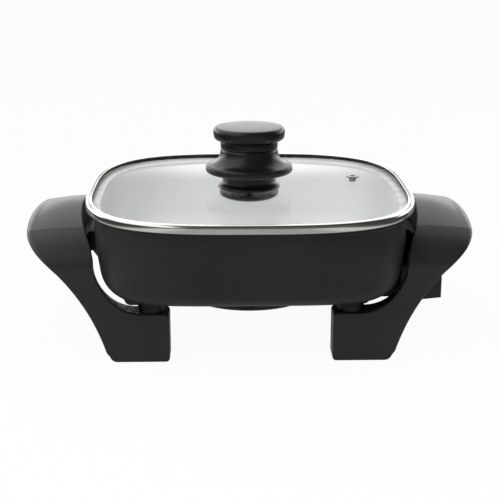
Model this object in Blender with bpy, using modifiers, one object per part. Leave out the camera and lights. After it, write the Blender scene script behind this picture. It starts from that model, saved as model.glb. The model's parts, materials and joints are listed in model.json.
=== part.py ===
"""Electric skillet: a square cast pan carried by two mouldings that are handle and legs
in one, a lift-off glass lid with a knob, and a plug-in heat control.

Metres, +Z up, +X to the right of the front, +Y to the back. The origin is on the floor
under the middle of the pan. Every moving piece hangs from an empty on its joint's axis.
"""

import math

import bmesh
import bpy
from mathutils import Matrix, Vector

# Clearances and working allowances
SEAT_GAP = 0.0003
CUT_OVERRUN = 0.004
WELD_DISTANCE = 0.00001

# Pan casting
PAN_HALF = 0.102
PAN_DEPTH = 0.0525
PAN_WALL = 0.0032
PAN_FLOOR = 0.0038
PAN_DRAFT_DEGREES = 5.0
PAN_WALL_BOW = 0.0012
PAN_BOTTOM_RADIUS = 0.018
PAN_LIP_REACH = 0.0009
PAN_LIP_HEIGHT = 0.0028
PAN_SQUARENESS = 3.6
PAN_RING_POINTS = 44

# Legs, feet and the spacers between foot and pan
FOOT_HEIGHT = 0.0329
LEG_DEPTH = 0.018
SPACER_HEIGHT = 0.0118
SPACER_DIAMETER = 0.0174
SPACER_SET_IN = 0.0374
SPACER_BORE = 0.0046
BOSS_DIAMETER = 0.0110
BOSS_LENGTH = 0.0060
FOOT_TOE_LENGTH = 0.0118
FOOT_HEEL_LENGTH = 0.0272
FOOT_EDGE_RADIUS = 0.0025
FOOT_HEEL_RADIUS = 0.0050
LEG_EDGE_RADIUS = 0.0018
LEG_SCREW_DIAMETER = 0.0040
LEG_SCREW_HEAD_DIAMETER = 0.0080
LEG_SCREW_HEAD_HEIGHT = 0.0028
LEG_SCREW_BITE = 0.0045
FOOT_SCREW_WEB = 0.0120

# Grip across the top of each pair of legs
HANDLE_GAP = 0.0065
GRIP_BELOW_RIM = 0.0045
GRIP_THICKNESS = 0.0250
GRIP_WIDTH = 0.0310
GRIP_BOW = 0.0090
GRIP_CROWN = 0.0074
GRIP_FALL = 0.0045
GRIP_ROLL = 0.0085
GRIP_INNER_RADIUS = 0.0030
SHOULDER_LENGTH = 0.0220
SHOULDER_DEGREES = 29.0
SHOULDER_RADIUS = 0.0095
ARCH_CORNER_RADIUS = 0.0140

# Shape of the leg seen from the front
LEG_SWELL_HEIGHT_SHARE = 0.68
LEG_SWELL_WIDTH_SHARE = 0.73
LEG_FOOT_SLOPE = 0.28
LEG_SWELL_SLOPE = 0.97
LEG_TOP_HEIGHT_SHARE = 0.875
LEG_THROAT_SET_IN = 0.0063
LEG_THROAT_DRAFT = 0.0017
LEG_FILLET_WIDTH = 0.0273
LEG_FILLET_HEIGHT = 0.0291
LEG_FILLET_FRONT_WIDTH = 0.0308
LEG_FILLET_FRONT_HEIGHT = 0.0371

# Brackets between the pan wall and the grips
BRACKET_WIDTH = 0.0280
BRACKET_DROP = 0.0074
BRACKET_RISE = 0.0068
BRACKET_SLOPE = 0.0019
BRACKET_EDGE_RADIUS = 0.0020
BRACKET_SCREW_SPACING = 0.0150
BRACKET_SCREW_DIAMETER = 0.0030
BRACKET_SCREW_HEAD_DIAMETER = 0.0058
BRACKET_SCREW_HEAD_HEIGHT = 0.0022
BRACKET_SCREW_BITE = 0.0045
BRACKET_SCREW_ABOVE_ARCH = 0.0034
GRIP_POCKET_WALL = 0.0040
GRIP_POCKET_WIDTH = 0.0140
GRIP_POCKET_DEPTH = 0.0115
GRIP_POCKET_RIB = 0.0040

# Heating element cast into a rib under the pan
ELEMENT_SET_IN = 0.0580
ELEMENT_DIAMETER = 0.0080
ELEMENT_DROP = 0.0130
ELEMENT_OPENING_WIDTH = 0.0358
ELEMENT_RIB_WIDTH = 0.0115
ELEMENT_RIB_HEIGHT = 0.0117
ELEMENT_TAIL = 0.0090
TERMINAL_SPACING = 0.0190
TERMINAL_DIAMETER = 0.0056
TERMINAL_LENGTH = 0.0200
TERMINAL_SHANK_DIAMETER = 0.0026
SEAL_LENGTH = 0.0042
SEAL_DIAMETER = 0.0070

# Socket under the pan for the control
SOCKET_DROP = 0.0067
SOCKET_GUARD_HALF_WIDTH = 0.0260
SOCKET_GUARD_HEIGHT = 0.0134
SOCKET_GUARD_LENGTH = 0.0295
SOCKET_GUARD_WALL = 0.0012
SOCKET_GUARD_BACK_SET = 0.0030
SOCKET_GUARD_RADIUS = 0.0030
SOCKET_EAR_REACH = 0.0090
SOCKET_EAR_LENGTH = 0.0120
SOCKET_SCREW_DIAMETER = 0.0030
SOCKET_SCREW_HEAD_DIAMETER = 0.0056
SOCKET_SCREW_HEAD_HEIGHT = 0.0018
SOCKET_SCREW_BITE = 0.0022
PROBE_WELL_LENGTH = 0.0200
PROBE_WELL_WIDTH = 0.0120
PROBE_WELL_WALL = 0.0024

# Plug-in control
PROBE_DIAMETER = 0.0060
PROBE_REACH = 0.0240
CONTACT_BLOCK_LENGTH = 0.0200
CONTACT_BLOCK_SIDE_GAP = 0.0078
CONTACT_BLOCK_HEIGHT = 0.0100
CONTACT_SLEEVE_WALL = 0.0007
HOUSING_STAND_OFF = 0.0015
HOUSING_LENGTH = 0.0285
HOUSING_SIDE_ROOM = 0.0190
HOUSING_SIDE_GAP = 0.0110
HOUSING_TAPER = 0.0080
HOUSING_WALL = 0.0022
HOUSING_BELOW_SOCKET = 0.0075
HOUSING_EDGE_RADIUS = 0.0012
NOSE_SET_IN = 0.0060
NOSE_BELOW_PAN = 0.0017
HOUSING_SPLIT_RISE = 0.0010
DIAL_DIAMETER = 0.0260
DIAL_HEIGHT = 0.0056
DIAL_WELL_DEPTH = 0.0010
DIAL_CLEARANCE = 0.0007
DIAL_FLUTES = 12
DIAL_FLUTE_DIAMETER = 0.0014
DIAL_SHAFT_DIAMETER = 0.0060
DIAL_SHAFT_SOCKET = 0.0030
DIAL_COLLAR_DIAMETER = 0.0110
DIAL_COLLAR_HEIGHT = 0.0018
PILOT_LENS_DIAMETER = 0.0050
PILOT_LENS_RISE = 0.0008
PILOT_LENS_SET_OFF = 0.0019
PILOT_LENS_FLANGE = 0.0007
CORD_GLAND_DIAMETER = 0.0110
CORD_GLAND_BORE = 0.0064
CORD_GLAND_FLANGE = 0.0016
HOUSING_SCREW_DIAMETER = 0.0026
HOUSING_SCREW_HEAD_DIAMETER = 0.0050
HOUSING_SCREW_HEAD_HEIGHT = 0.0016
HOUSING_POST_DIAMETER = 0.0066
HOUSING_POST_CLEARANCE = 0.0009

# Glass lid
LID_OVERHANG = 0.0060
LID_SQUARENESS = 3.1
BAND_HEIGHT = 0.0055
BAND_SHEET = 0.0007
BAND_FLANGE = 0.0042
BAND_SHELF = 0.0095
BAND_EDGE_RADIUS = 0.0017
GLASS_THICKNESS = 0.0027
GLASS_DOME = 0.0004
GLASS_EDGE_SET_IN = 0.0020
GASKET_SET_IN = 0.0010
VENT_SET_IN = 0.0345
VENT_Y = 0.0280
VENT_DIAMETER = 0.0072
VENT_BORE = 0.0036
VENT_RISE = 0.0015
VENT_FLANGE = 0.0012
VENT_FLAT_SHARE = 0.6

# Knob, from the glass upwards
KNOB_COLLAR_DIAMETER = 0.0420
KNOB_STEM_DIAMETER = 0.0360
KNOB_GUARD_DIAMETER = 0.0575
KNOB_NECK_DIAMETER = 0.0384
KNOB_TOP_DIAMETER = 0.0480
KNOB_STEM_RISE = 0.0060
KNOB_GUARD_RISE = 0.0103
KNOB_GUARD_THICKNESS = 0.0053
KNOB_FLARE_HEIGHT = 0.0107
KNOB_RING_HEIGHT = 0.0050
KNOB_NECK_HEIGHT = 0.0008
KNOB_TOP_HEIGHT = 0.0084
KNOB_TOP_FLAT_DIAMETER = 0.0440
KNOB_WIDEST_SHARE = 0.62
KNOB_BORE = 0.0050
KNOB_SCREW_DIAMETER = 0.0040
KNOB_SCREW_HEAD_DIAMETER = 0.0086
KNOB_SCREW_HEAD_HEIGHT = 0.0026
KNOB_SCREW_END_DROP = 0.0060
UNDER_CAP_DIAMETER = 0.0400
UNDER_CAP_HEIGHT = 0.0066
UNDER_CAP_SHARES = ((1, 0.3), (0.9, 0.6), (0.75, 0.85), (0.6, 1))

# Heights and places that follow from the sizes above
PAN_BOTTOM = FOOT_HEIGHT + SPACER_HEIGHT
PAN_TOP = PAN_BOTTOM + PAN_DEPTH
SOCKET_Z = PAN_BOTTOM - SOCKET_DROP
ELEMENT_Z = PAN_BOTTOM - ELEMENT_DROP
HOUSING_HALF_WIDTH = DIAL_DIAMETER / 2 + HOUSING_SIDE_ROOM + HOUSING_TAPER / 2
ARCH_HALF = HOUSING_HALF_WIDTH + HOUSING_SIDE_GAP
LEG_FRONT_Y = ARCH_HALF + LEG_DEPTH
SHOULDER_START = LEG_FRONT_Y - SHOULDER_LENGTH
LEG_MIDDLE_Y = LEG_FRONT_Y - LEG_DEPTH / 2
SPACER_X = PAN_HALF - SPACER_SET_IN
FOOT_INNER_X = SPACER_X - FOOT_TOE_LENGTH
FOOT_OUTER_X = SPACER_X + FOOT_HEEL_LENGTH
GRIP_INNER_X = PAN_HALF + HANDLE_GAP
GRIP_OUTER_X = GRIP_INNER_X + GRIP_WIDTH
HANDLE_TOP = PAN_TOP - GRIP_BELOW_RIM
ARCH_TOP = HANDLE_TOP - GRIP_THICKNESS
BRACKET_BOTTOM = ARCH_TOP - BRACKET_DROP
BRACKET_TOP = ARCH_TOP + BRACKET_RISE
LID_Z = PAN_TOP + SEAT_GAP
LID_HALF = PAN_HALF + LID_OVERHANG
VENT_X = LID_HALF - VENT_SET_IN
ELEMENT_RADIUS = PAN_HALF - ELEMENT_SET_IN
ELEMENT_OPENING_DEGREES = math.degrees(math.asin(ELEMENT_OPENING_WIDTH / 2 / ELEMENT_RADIUS))
ELEMENT_END_X = ELEMENT_RADIUS + ELEMENT_TAIL
PROBE_TIP_X = ELEMENT_RADIUS - PROBE_REACH
SEAL_X = ELEMENT_END_X + SEAT_GAP
TERMINAL_X = SEAL_X + SEAL_LENGTH + SEAT_GAP
SOCKET_GUARD_X = ELEMENT_END_X - SOCKET_GUARD_BACK_SET
CONTACT_BLOCK_X = TERMINAL_X + 2 * SEAT_GAP + SOCKET_GUARD_BACK_SET
NOSE_X = CONTACT_BLOCK_X + CONTACT_BLOCK_LENGTH
HOUSING_X = PAN_HALF - HOUSING_STAND_OFF
HOUSING_BOTTOM = SOCKET_Z - HOUSING_BELOW_SOCKET
DIAL_TOP = BRACKET_BOTTOM - DIAL_CLEARANCE
HOUSING_TOP = DIAL_TOP - DIAL_HEIGHT + DIAL_WELL_DEPTH - SEAT_GAP
NOSE_TOP = PAN_BOTTOM - NOSE_BELOW_PAN
HOUSING_SPLIT = NOSE_TOP + HOUSING_SPLIT_RISE
DIAL_X = HOUSING_X + HOUSING_LENGTH / 2
ENDS = ("front", "rear")
LEG_CORNERS = {"front_left": (-SPACER_X, -LEG_MIDDLE_Y), "front_right": (SPACER_X, -LEG_MIDDLE_Y),
               "rear_left": (-SPACER_X, LEG_MIDDLE_Y), "rear_right": (SPACER_X, LEG_MIDDLE_Y)}

# Finishes: colour, roughness, metallic
CHARCOAL_COATING = ((0.030, 0.029, 0.028), 0.42, 0.0)
BLACK_PHENOLIC = ((0.022, 0.022, 0.022), 0.45, 0.0)
KNOB_PHENOLIC = ((0.012, 0.012, 0.012), 0.35, 0.0)
CLEAR_GLASS = ((0.90, 0.92, 0.92), 0.05, 0.0)
BRIGHT_STEEL = ((0.72, 0.71, 0.69), 0.20, 1.0)
PLATED_STEEL = ((0.50, 0.50, 0.50), 0.35, 1.0)
BRASS = ((0.62, 0.45, 0.20), 0.35, 1.0)
CERAMIC = ((0.75, 0.73, 0.68), 0.60, 0.0)
BLACK_RUBBER = ((0.010, 0.010, 0.010), 0.70, 0.0)
RED_LENS = ((0.45, 0.03, 0.02), 0.20, 0.0)

for leftover in list(bpy.data.objects):
    bpy.data.objects.remove(leftover, do_unlink=True)

PARTS = bpy.data.collections.new("electric_skillet")
CUTTERS = bpy.data.collections.new("electric_skillet_cutters")
bpy.context.scene.collection.children.link(PARTS)
bpy.context.scene.collection.children.link(CUTTERS)


# General helpers

def lerp(start, end, share):
    return start + (end - start) * share


def smooth_share(value, start, end):
    """How far value has gone from start to end, eased at both ends."""
    share = min(max((value - start) / (end - start), 0), 1)
    return share * share * (3 - 2 * share)


def hermite(share, start, end, start_slope, end_slope, span):
    """Cubic through two places with a slope at each."""
    square = share * share
    cube = square * share
    return ((2 * cube - 3 * square + 1) * start + (3 * square - 2 * cube) * end
            + span * ((cube - 2 * square + share) * start_slope + (cube - square) * end_slope))


def arc(centre, radius, start_degrees, end_degrees, steps):
    """Points round a flat arc, both ends included."""
    angles = [math.radians(lerp(start_degrees, end_degrees, i / steps)) for i in range(steps + 1)]
    return [(centre[0] + radius * math.cos(a), centre[1] + radius * math.sin(a)) for a in angles]


def round_corners(corners, steps=3):
    """A closed flat outline from (x, y, radius) corners, each rounded by its radius."""
    outline = []
    count = len(corners)
    for i, (x, y, radius) in enumerate(corners):
        here = Vector((x, y))
        if radius == 0:
            outline.append((x, y))
            continue
        back = (Vector(corners[i - 1][:2]) - here).normalized()
        ahead = (Vector(corners[(i + 1) % count][:2]) - here).normalized()
        half_angle = back.angle(ahead) / 2
        reach = radius / math.tan(half_angle)
        centre = here + (back + ahead).normalized() * (radius / math.sin(half_angle))
        first = here + back * reach - centre
        last = here + ahead * reach - centre
        turn = first.angle_signed(last)
        for step in range(steps + 1):
            outline.append(tuple(centre + Matrix.Rotation(-turn * step / steps, 2) @ first))
    return outline


def superellipse(half, power, inset, count):
    """Rounded-square outline moved inwards along its normals."""
    outline = []
    for i in range(count):
        angle = 2 * math.pi * i / count
        across, along = math.cos(angle), math.sin(angle)
        x = half * math.copysign(abs(across) ** (2 / power), across)
        y = half * math.copysign(abs(along) ** (2 / power), along)
        normal = Vector((math.copysign(abs(x / half) ** (power - 1), x),
                         math.copysign(abs(y / half) ** (power - 1), y))).normalized()
        outline.append((x - inset * normal.x, y - inset * normal.y))
    return outline


def paint(obj, finish):
    """Give an object its own Principled material."""
    colour, roughness, metallic = finish
    material = bpy.data.materials.new(obj.name)
    material.use_nodes = True
    shader = material.node_tree.nodes["Principled BSDF"]
    shader.inputs["Base Color"].default_value = (*colour, 1)
    shader.inputs["Roughness"].default_value = roughness
    shader.inputs["Metallic"].default_value = metallic
    obj.data.materials.clear()
    obj.data.materials.append(material)
    return obj


def add_object(name, mesh, parent=None, place=(0, 0, 0), turn=(0, 0, 0)):
    obj = bpy.data.objects.new(name, mesh)
    PARTS.objects.link(obj)
    obj.parent = parent
    obj.location = place
    obj.rotation_euler = turn
    return obj


def make_cutter(obj):
    """Keep a tool solid out of sight, apart from the pieces."""
    PARTS.objects.unlink(obj)
    CUTTERS.objects.link(obj)
    obj.hide_render = True
    obj.display_type = "WIRE"
    return obj


def boolean(obj, tools, operation="DIFFERENCE"):
    """Cut an object by each tool in turn, or join it to each."""
    for tool in tools:
        modifier = obj.modifiers.new(tool.name, "BOOLEAN")
        modifier.operation = operation
        modifier.solver = "EXACT"
        modifier.object = make_cutter(tool)


def mesh_from(build, name, smooth_degrees=35.0):
    """Run a bmesh builder and return its mesh with outward faces."""
    work = bmesh.new()
    build(work)
    bmesh.ops.recalc_face_normals(work, faces=work.faces)
    mesh = bpy.data.meshes.new(name)
    work.to_mesh(mesh)
    work.free()
    mesh.shade_smooth()
    mesh.set_sharp_from_angle(angle=math.radians(smooth_degrees))
    return mesh


def loft(name, rings, closed=False, **placing):
    """Skin equal rings of points; closed joins the last ring to the first."""
    def build(work):
        rows = [[work.verts.new(point) for point in ring] for ring in rings]
        pairs = list(zip(rows, rows[1:]))
        if closed:
            pairs.append((rows[-1], rows[0]))
        else:
            work.faces.new(rows[0])
            work.faces.new(rows[-1])
        for low, high in pairs:
            for i in range(len(low)):
                work.faces.new((low[i - 1], low[i], high[i], high[i - 1]))
    return add_object(name, mesh_from(build, name), **placing)


def turned(name, outline, steps=32, closed=False, **placing):
    """Turn (radius, height) points about Z; the outline runs down its outer side."""
    mesh = bpy.data.meshes.new(name)
    edges = [(i, i + 1) for i in range(len(outline) - 1)]
    if closed:
        edges.append((len(outline) - 1, 0))
    mesh.from_pydata([(radius, 0, height) for radius, height in outline], edges, [])
    obj = add_object(name, mesh, **placing)
    screw = obj.modifiers.new("turn", "SCREW")
    screw.steps = steps
    screw.render_steps = steps
    screw.use_merge_vertices = True
    screw.merge_threshold = WELD_DISTANCE
    screw.use_smooth_shade = True
    return obj


def rod(name, radius, low, high, steps=20, **placing):
    return turned(name, [(0, high), (radius, high), (radius, low), (0, low)], steps, **placing)


def block(name, low, high, bevel=0, **placing):
    """Box between two corners with its edges rounded."""
    middle = (Vector(low) + Vector(high)) / 2
    size = Vector(high) - Vector(low)

    def build(work):
        place = Matrix.Translation(middle) @ Matrix.Diagonal(size).to_4x4()
        bmesh.ops.create_cube(work, size=1, matrix=place)
    obj = add_object(name, mesh_from(build, name), **placing)
    if bevel:
        soften = obj.modifiers.new("edges", "BEVEL")
        soften.width = bevel
        soften.segments = 2
    return obj


def curve_to_mesh(obj):
    """Replace a curve object by its welded mesh, in the same place."""
    source = obj.evaluated_get(bpy.context.evaluated_depsgraph_get())
    mesh = bpy.data.meshes.new_from_object(source)

    def build(work):
        work.from_mesh(mesh)
        bmesh.ops.remove_doubles(work, verts=work.verts, dist=WELD_DISTANCE)
    solid = add_object("solid_of_" + obj.name, mesh_from(build, obj.name))
    solid.parent = obj.parent
    solid.location = obj.location
    solid.rotation_euler = obj.rotation_euler
    name = obj.name
    bpy.data.objects.remove(obj, do_unlink=True)
    solid.name = name
    return solid


def plate(name, outlines, low, high, **placing):
    """Flat outlines, the later ones as holes, filled from one height to another."""
    curve = bpy.data.curves.new(name, "CURVE")
    curve.dimensions = "2D"
    curve.fill_mode = "BOTH"
    curve.extrude = (high - low) / 2
    for outline in outlines:
        spline = curve.splines.new("POLY")
        spline.points.add(len(outline) - 1)
        for point, (x, y) in zip(spline.points, outline):
            point.co = (x, y, 0, 1)
        spline.use_cyclic_u = True
    obj = curve_to_mesh(add_object(name, curve, **placing))
    obj.data.transform(Matrix.Translation((0, 0, (low + high) / 2)))
    return obj


def tube(name, points, radius, **placing):
    """Round bar along points, closed at both ends."""
    curve = bpy.data.curves.new(name, "CURVE")
    curve.dimensions = "3D"
    curve.bevel_depth = radius
    curve.bevel_resolution = 2
    curve.use_fill_caps = True
    spline = curve.splines.new("POLY")
    spline.points.add(len(points) - 1)
    for point, place in zip(spline.points, points):
        point.co = (*place, 1)
    return curve_to_mesh(add_object(name, curve, **placing))


def screw_outline(head_radius, head_height, shank_radius, length):
    """Pan-head screw standing on its head, with the head's underside at height zero."""
    crown = head_height / 3
    return [(0, length), (shank_radius, length), (shank_radius, 0), (head_radius, 0),
            (head_radius, crown - head_height), (head_radius - crown, -head_height),
            (0, -head_height)]


def screws(places, head_radius, head_height, shank_radius, length, turn=(0, 0, 0), parent=None):
    """Like screws at named places, each its own piece."""
    outline = screw_outline(head_radius, head_height, shank_radius, length)
    for name, place in places.items():
        paint(turned(name, outline, 10, place=place, turn=turn, parent=parent), PLATED_STEEL)


# Pan

def wall_profile(top_inset, floor_z, radius, grow=0, wall_steps=3, turn_steps=4):
    """(inset, height) down one side of the pan wall and round to its flat floor."""
    draft = math.radians(PAN_DRAFT_DEGREES)
    wall_height = PAN_TOP - floor_z - radius * (1 - math.sin(draft))
    profile = []
    for step in range(wall_steps):
        share = step / wall_steps
        bow = PAN_WALL_BOW * math.sin(math.pi * share)
        profile.append((top_inset + math.tan(draft) * wall_height * share - bow - grow,
                        PAN_TOP - wall_height * share))
    centre = top_inset + math.tan(draft) * wall_height + radius * math.cos(draft)
    for step in range(turn_steps + 1):
        angle = lerp(draft, math.pi / 2, step / turn_steps)
        profile.append((centre - (radius + grow) * math.cos(angle),
                        floor_z + radius - (radius + grow) * math.sin(angle)))
    return profile


def pan_rings(profile):
    return [[(x, y, z) for x, y in superellipse(PAN_HALF, PAN_SQUARENESS, inset, PAN_RING_POINTS)]
            for inset, z in profile]


def pan_space(name):
    """The pan's outer form grown by the seat gap, for cutting what stands against it."""
    profile = wall_profile(0, PAN_BOTTOM, PAN_BOTTOM_RADIUS, SEAT_GAP)
    profile[0] = (profile[0][0], PAN_TOP + CUT_OVERRUN)
    return loft(name, pan_rings(profile))


def element_path():
    """Middle line of the tubular element: an open ring with its ends turned to the socket."""
    opening = ELEMENT_OPENING_DEGREES
    ring = [(x, y, ELEMENT_Z) for x, y in arc((0, 0), ELEMENT_RADIUS, opening, 360 - opening, 28)]
    start = Vector(ring[0])
    tangent = Vector((math.sin(math.radians(opening)), -math.cos(math.radians(opening)), 0))
    end = Vector((ELEMENT_END_X, TERMINAL_SPACING / 2, SOCKET_Z))
    straight = ELEMENT_DIAMETER / 2
    bend_end = end - Vector((straight, 0, 0))
    reach = (bend_end - start).length / 2
    lead = []
    for step in range(1, 5):
        share = step / 5
        lead.append(start * (1 - share) ** 3 + 3 * share * (1 - share) ** 2 * (start + tangent * reach)
                    + 3 * share ** 2 * (1 - share) * (bend_end - Vector((reach, 0, 0)))
                    + bend_end * share ** 3)
    lead += [bend_end, end]
    mirrored = [Vector((p.x, -p.y, p.z)) for p in lead]
    return [tuple(p) for p in reversed(lead)] + ring + [tuple(p) for p in mirrored]


def casting_features():
    """What stands down from the pan's floor: element rib, leg bosses and probe well."""
    root = PAN_BOTTOM + PAN_FLOOR / 2
    opening = ELEMENT_OPENING_DEGREES
    half_width = ELEMENT_RIB_WIDTH / 2
    rib_bottom = PAN_BOTTOM - ELEMENT_RIB_HEIGHT

    def rib(work):
        section = [(ELEMENT_RADIUS - half_width, rib_bottom), (ELEMENT_RADIUS + half_width, rib_bottom),
                   (ELEMENT_RADIUS + half_width + PAN_LIP_REACH, root),
                   (ELEMENT_RADIUS - half_width - PAN_LIP_REACH, root)]
        swing = math.radians(opening)
        face = work.faces.new([work.verts.new((r * math.cos(swing), r * math.sin(swing), z))
                               for r, z in section])
        start = bmesh.ops.duplicate(work, geom=[face])["geom"]
        sweep = [item for item in start if isinstance(item, bmesh.types.BMFace)]
        bmesh.ops.spin(work, geom=sweep, cent=(0, 0, 0), axis=(0, 0, 1),
                       angle=2 * math.pi - 2 * swing, steps=28, use_duplicate=False)
        bmesh.ops.remove_doubles(work, verts=work.verts, dist=WELD_DISTANCE)

    pieces = [add_object("element_rib", mesh_from(rib, "element_rib"))]
    draft = BOSS_LENGTH * math.tan(math.radians(PAN_DRAFT_DEGREES))
    for x, y in LEG_CORNERS.values():
        pieces.append(turned("leg_boss", [
            (0, root), (BOSS_DIAMETER / 2 + draft, root),
            (BOSS_DIAMETER / 2, PAN_BOTTOM - BOSS_LENGTH), (0, PAN_BOTTOM - BOSS_LENGTH)], 20,
            place=(x, y, 0)))
    well_low = SOCKET_Z - PROBE_DIAMETER / 2 - PROBE_WELL_WALL
    pieces.append(block("probe_well", (PROBE_TIP_X - PROBE_WELL_WALL, -PROBE_WELL_WIDTH / 2, well_low),
                        (PROBE_TIP_X + PROBE_WELL_LENGTH - PROBE_WELL_WALL, PROBE_WELL_WIDTH / 2, root),
                        PROBE_WELL_WALL / 2))
    return pieces


def casting_holes():
    """Groove for the element, blind screw holes and the probe's bore."""
    pieces = [tube("element_groove", element_path(), ELEMENT_DIAMETER / 2 + SEAT_GAP)]
    leg_depth = LEG_SCREW_BITE + SEAT_GAP
    boss_end = PAN_BOTTOM - BOSS_LENGTH
    for x, y in LEG_CORNERS.values():
        pieces.append(rod("leg_screw_hole", LEG_SCREW_DIAMETER / 2 + SEAT_GAP, boss_end - CUT_OVERRUN,
                          boss_end + leg_depth, 12, place=(x, y, 0)))
    for place in socket_screw_places():
        pieces.append(rod("socket_screw_hole", SOCKET_SCREW_DIAMETER / 2 + SEAT_GAP,
                          PAN_BOTTOM - SEAT_GAP, PAN_BOTTOM + SOCKET_SCREW_BITE + SEAT_GAP, 12,
                          place=(place[0], place[1], 0)))
    pieces.append(rod("probe_bore", PROBE_DIAMETER / 2 + SEAT_GAP, PROBE_TIP_X - SEAT_GAP,
                      PROBE_TIP_X + PROBE_WELL_LENGTH + CUT_OVERRUN, 16,
                      place=(0, 0, SOCKET_Z), turn=(0, math.pi / 2, 0)))
    return pieces


def make_pan():
    outside = wall_profile(0, PAN_BOTTOM, PAN_BOTTOM_RADIUS)
    inside = wall_profile(PAN_WALL, PAN_BOTTOM + PAN_FLOOR, PAN_BOTTOM_RADIUS - PAN_WALL, 0, 2, 3)
    lip_low = PAN_TOP - PAN_LIP_HEIGHT
    round_over = PAN_LIP_REACH / 2
    lip = [(PAN_WALL / 2, PAN_TOP), (-round_over, PAN_TOP), (-PAN_LIP_REACH, PAN_TOP - PAN_LIP_REACH),
           (-PAN_LIP_REACH, lip_low + PAN_LIP_REACH), (0, lip_low)]
    profile = list(reversed(outside[1:])) + list(reversed(lip)) + inside
    pan = loft("pan", pan_rings(profile))
    boolean(pan, casting_features(), "UNION")
    boolean(pan, casting_holes())
    paint(pan, CHARCOAL_COATING)


# Handle and legs

def crown_height(y):
    """Top of the handle at a distance from its middle: crown, slanted shoulder, roll to the face."""
    slope = math.tan(math.radians(SHOULDER_DEGREES))
    crown = HANDLE_TOP - GRIP_CROWN * (min(y, SHOULDER_START) / SHOULDER_START) ** 2
    slant = crown - slope * max(y - SHOULDER_START, 0)
    roll_start = LEG_FRONT_Y - SHOULDER_RADIUS
    if y <= roll_start:
        return slant
    share = min((y - roll_start) / SHOULDER_RADIUS, 1)
    return slant - SHOULDER_RADIUS * (1 - math.sqrt(1 - share * share)) / 2


def leg_outer_x(y, z):
    """Outer side of the leg and grip at a place along the handle and a height."""
    swell_z = LEG_SWELL_HEIGHT_SHARE * HANDLE_TOP
    top_z = LEG_TOP_HEIGHT_SHARE * HANDLE_TOP
    swell_x = lerp(FOOT_OUTER_X, GRIP_OUTER_X, LEG_SWELL_WIDTH_SHARE)
    if z < swell_z:
        x = hermite(z / swell_z, FOOT_OUTER_X, swell_x, LEG_FOOT_SLOPE, LEG_SWELL_SLOPE, swell_z)
    elif z < top_z:
        x = hermite((z - swell_z) / (top_z - swell_z), swell_x, GRIP_OUTER_X, LEG_SWELL_SLOPE, 0,
                    top_z - swell_z)
    else:
        x = GRIP_OUTER_X
    bow = GRIP_BOW * (1 - (y / LEG_FRONT_Y) ** 2)
    return x + bow * smooth_share(z, 0, swell_z)


def leg_inner_x(y, z):
    """Inner side: a long fillet up from the foot, then the throat beside the pan."""
    front = min(max((y - ARCH_HALF) / LEG_DEPTH, 0), 1)
    width = lerp(LEG_FILLET_WIDTH, LEG_FILLET_FRONT_WIDTH, front)
    height = lerp(LEG_FILLET_HEIGHT, LEG_FILLET_FRONT_HEIGHT, front)
    throat = GRIP_INNER_X - LEG_THROAT_SET_IN - LEG_THROAT_DRAFT * front
    fillet_top = FOOT_HEIGHT + height
    crease = HANDLE_TOP - GRIP_CROWN
    if z < fillet_top:
        rise = (fillet_top - z) / height
        x = throat - width + width * math.sqrt(max(1 - rise * rise, 0))
    else:
        x = lerp(throat, GRIP_INNER_X, smooth_share(z, fillet_top, max(crease, fillet_top + SEAT_GAP)))
    beyond_leg = 1 - smooth_share(y, ARCH_HALF - LEG_FILLET_WIDTH / 2, ARCH_HALF)
    arch_turn = ARCH_TOP - BRACKET_RISE / 2
    above_foot = smooth_share(z, arch_turn - ARCH_CORNER_RADIUS, arch_turn)
    return lerp(x, GRIP_INNER_X, beyond_leg * above_foot)


def handle_section(y):
    """Closed outline of the handle in the X-Z plane at a distance from its middle."""
    top = crown_height(y)
    edge = FOOT_EDGE_RADIUS
    heel = FOOT_HEEL_RADIUS
    roll = lerp(GRIP_ROLL, GRIP_ROLL / 2, smooth_share(y, SHOULDER_START, LEG_FRONT_Y))
    fall = lerp(GRIP_FALL, 0, smooth_share(y, SHOULDER_START, LEG_FRONT_Y))
    roll_z = top - fall - roll
    roll_x = leg_outer_x(y, roll_z) - roll
    section = arc((FOOT_INNER_X + edge, edge), edge, 180, 270, 2)
    section += arc((leg_outer_x(y, 0) - heel, heel), heel, 270, 345, 3)
    for step in range(1, 8):
        z = lerp(heel, roll_z, step / 8)
        section.append((leg_outer_x(y, z), z))
    section += arc((roll_x, roll_z), roll, 0, 90, 4)
    inner_top_x = leg_inner_x(y, top - GRIP_INNER_RADIUS) + GRIP_INNER_RADIUS
    for step in range(1, 3):
        share = 1 - step / 3
        section.append((lerp(inner_top_x, roll_x, share), top - fall * share * share))
    section += arc((inner_top_x, top - GRIP_INNER_RADIUS), GRIP_INNER_RADIUS, 90, 180, 2)
    for step in range(1, 8):
        share = (1 - step / 8) ** 2
        z = lerp(FOOT_HEIGHT, top - GRIP_INNER_RADIUS, share)
        section.append((leg_inner_x(y, z), z))
    section.append((leg_inner_x(y, FOOT_HEIGHT), FOOT_HEIGHT))
    section += arc((FOOT_INNER_X + edge, FOOT_HEIGHT - edge), edge, 90, 180, 2)
    return section


def shrink(section, amount):
    """Move a closed outline inwards by an amount, for a rounded face edge."""
    moved = []
    for i, (x, z) in enumerate(section):
        before = Vector(section[i - 1])
        after = Vector(section[(i + 1) % len(section)])
        along = (after - before).normalized()
        moved.append((x - along.y * amount, z + along.x * amount))
    return moved


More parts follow.
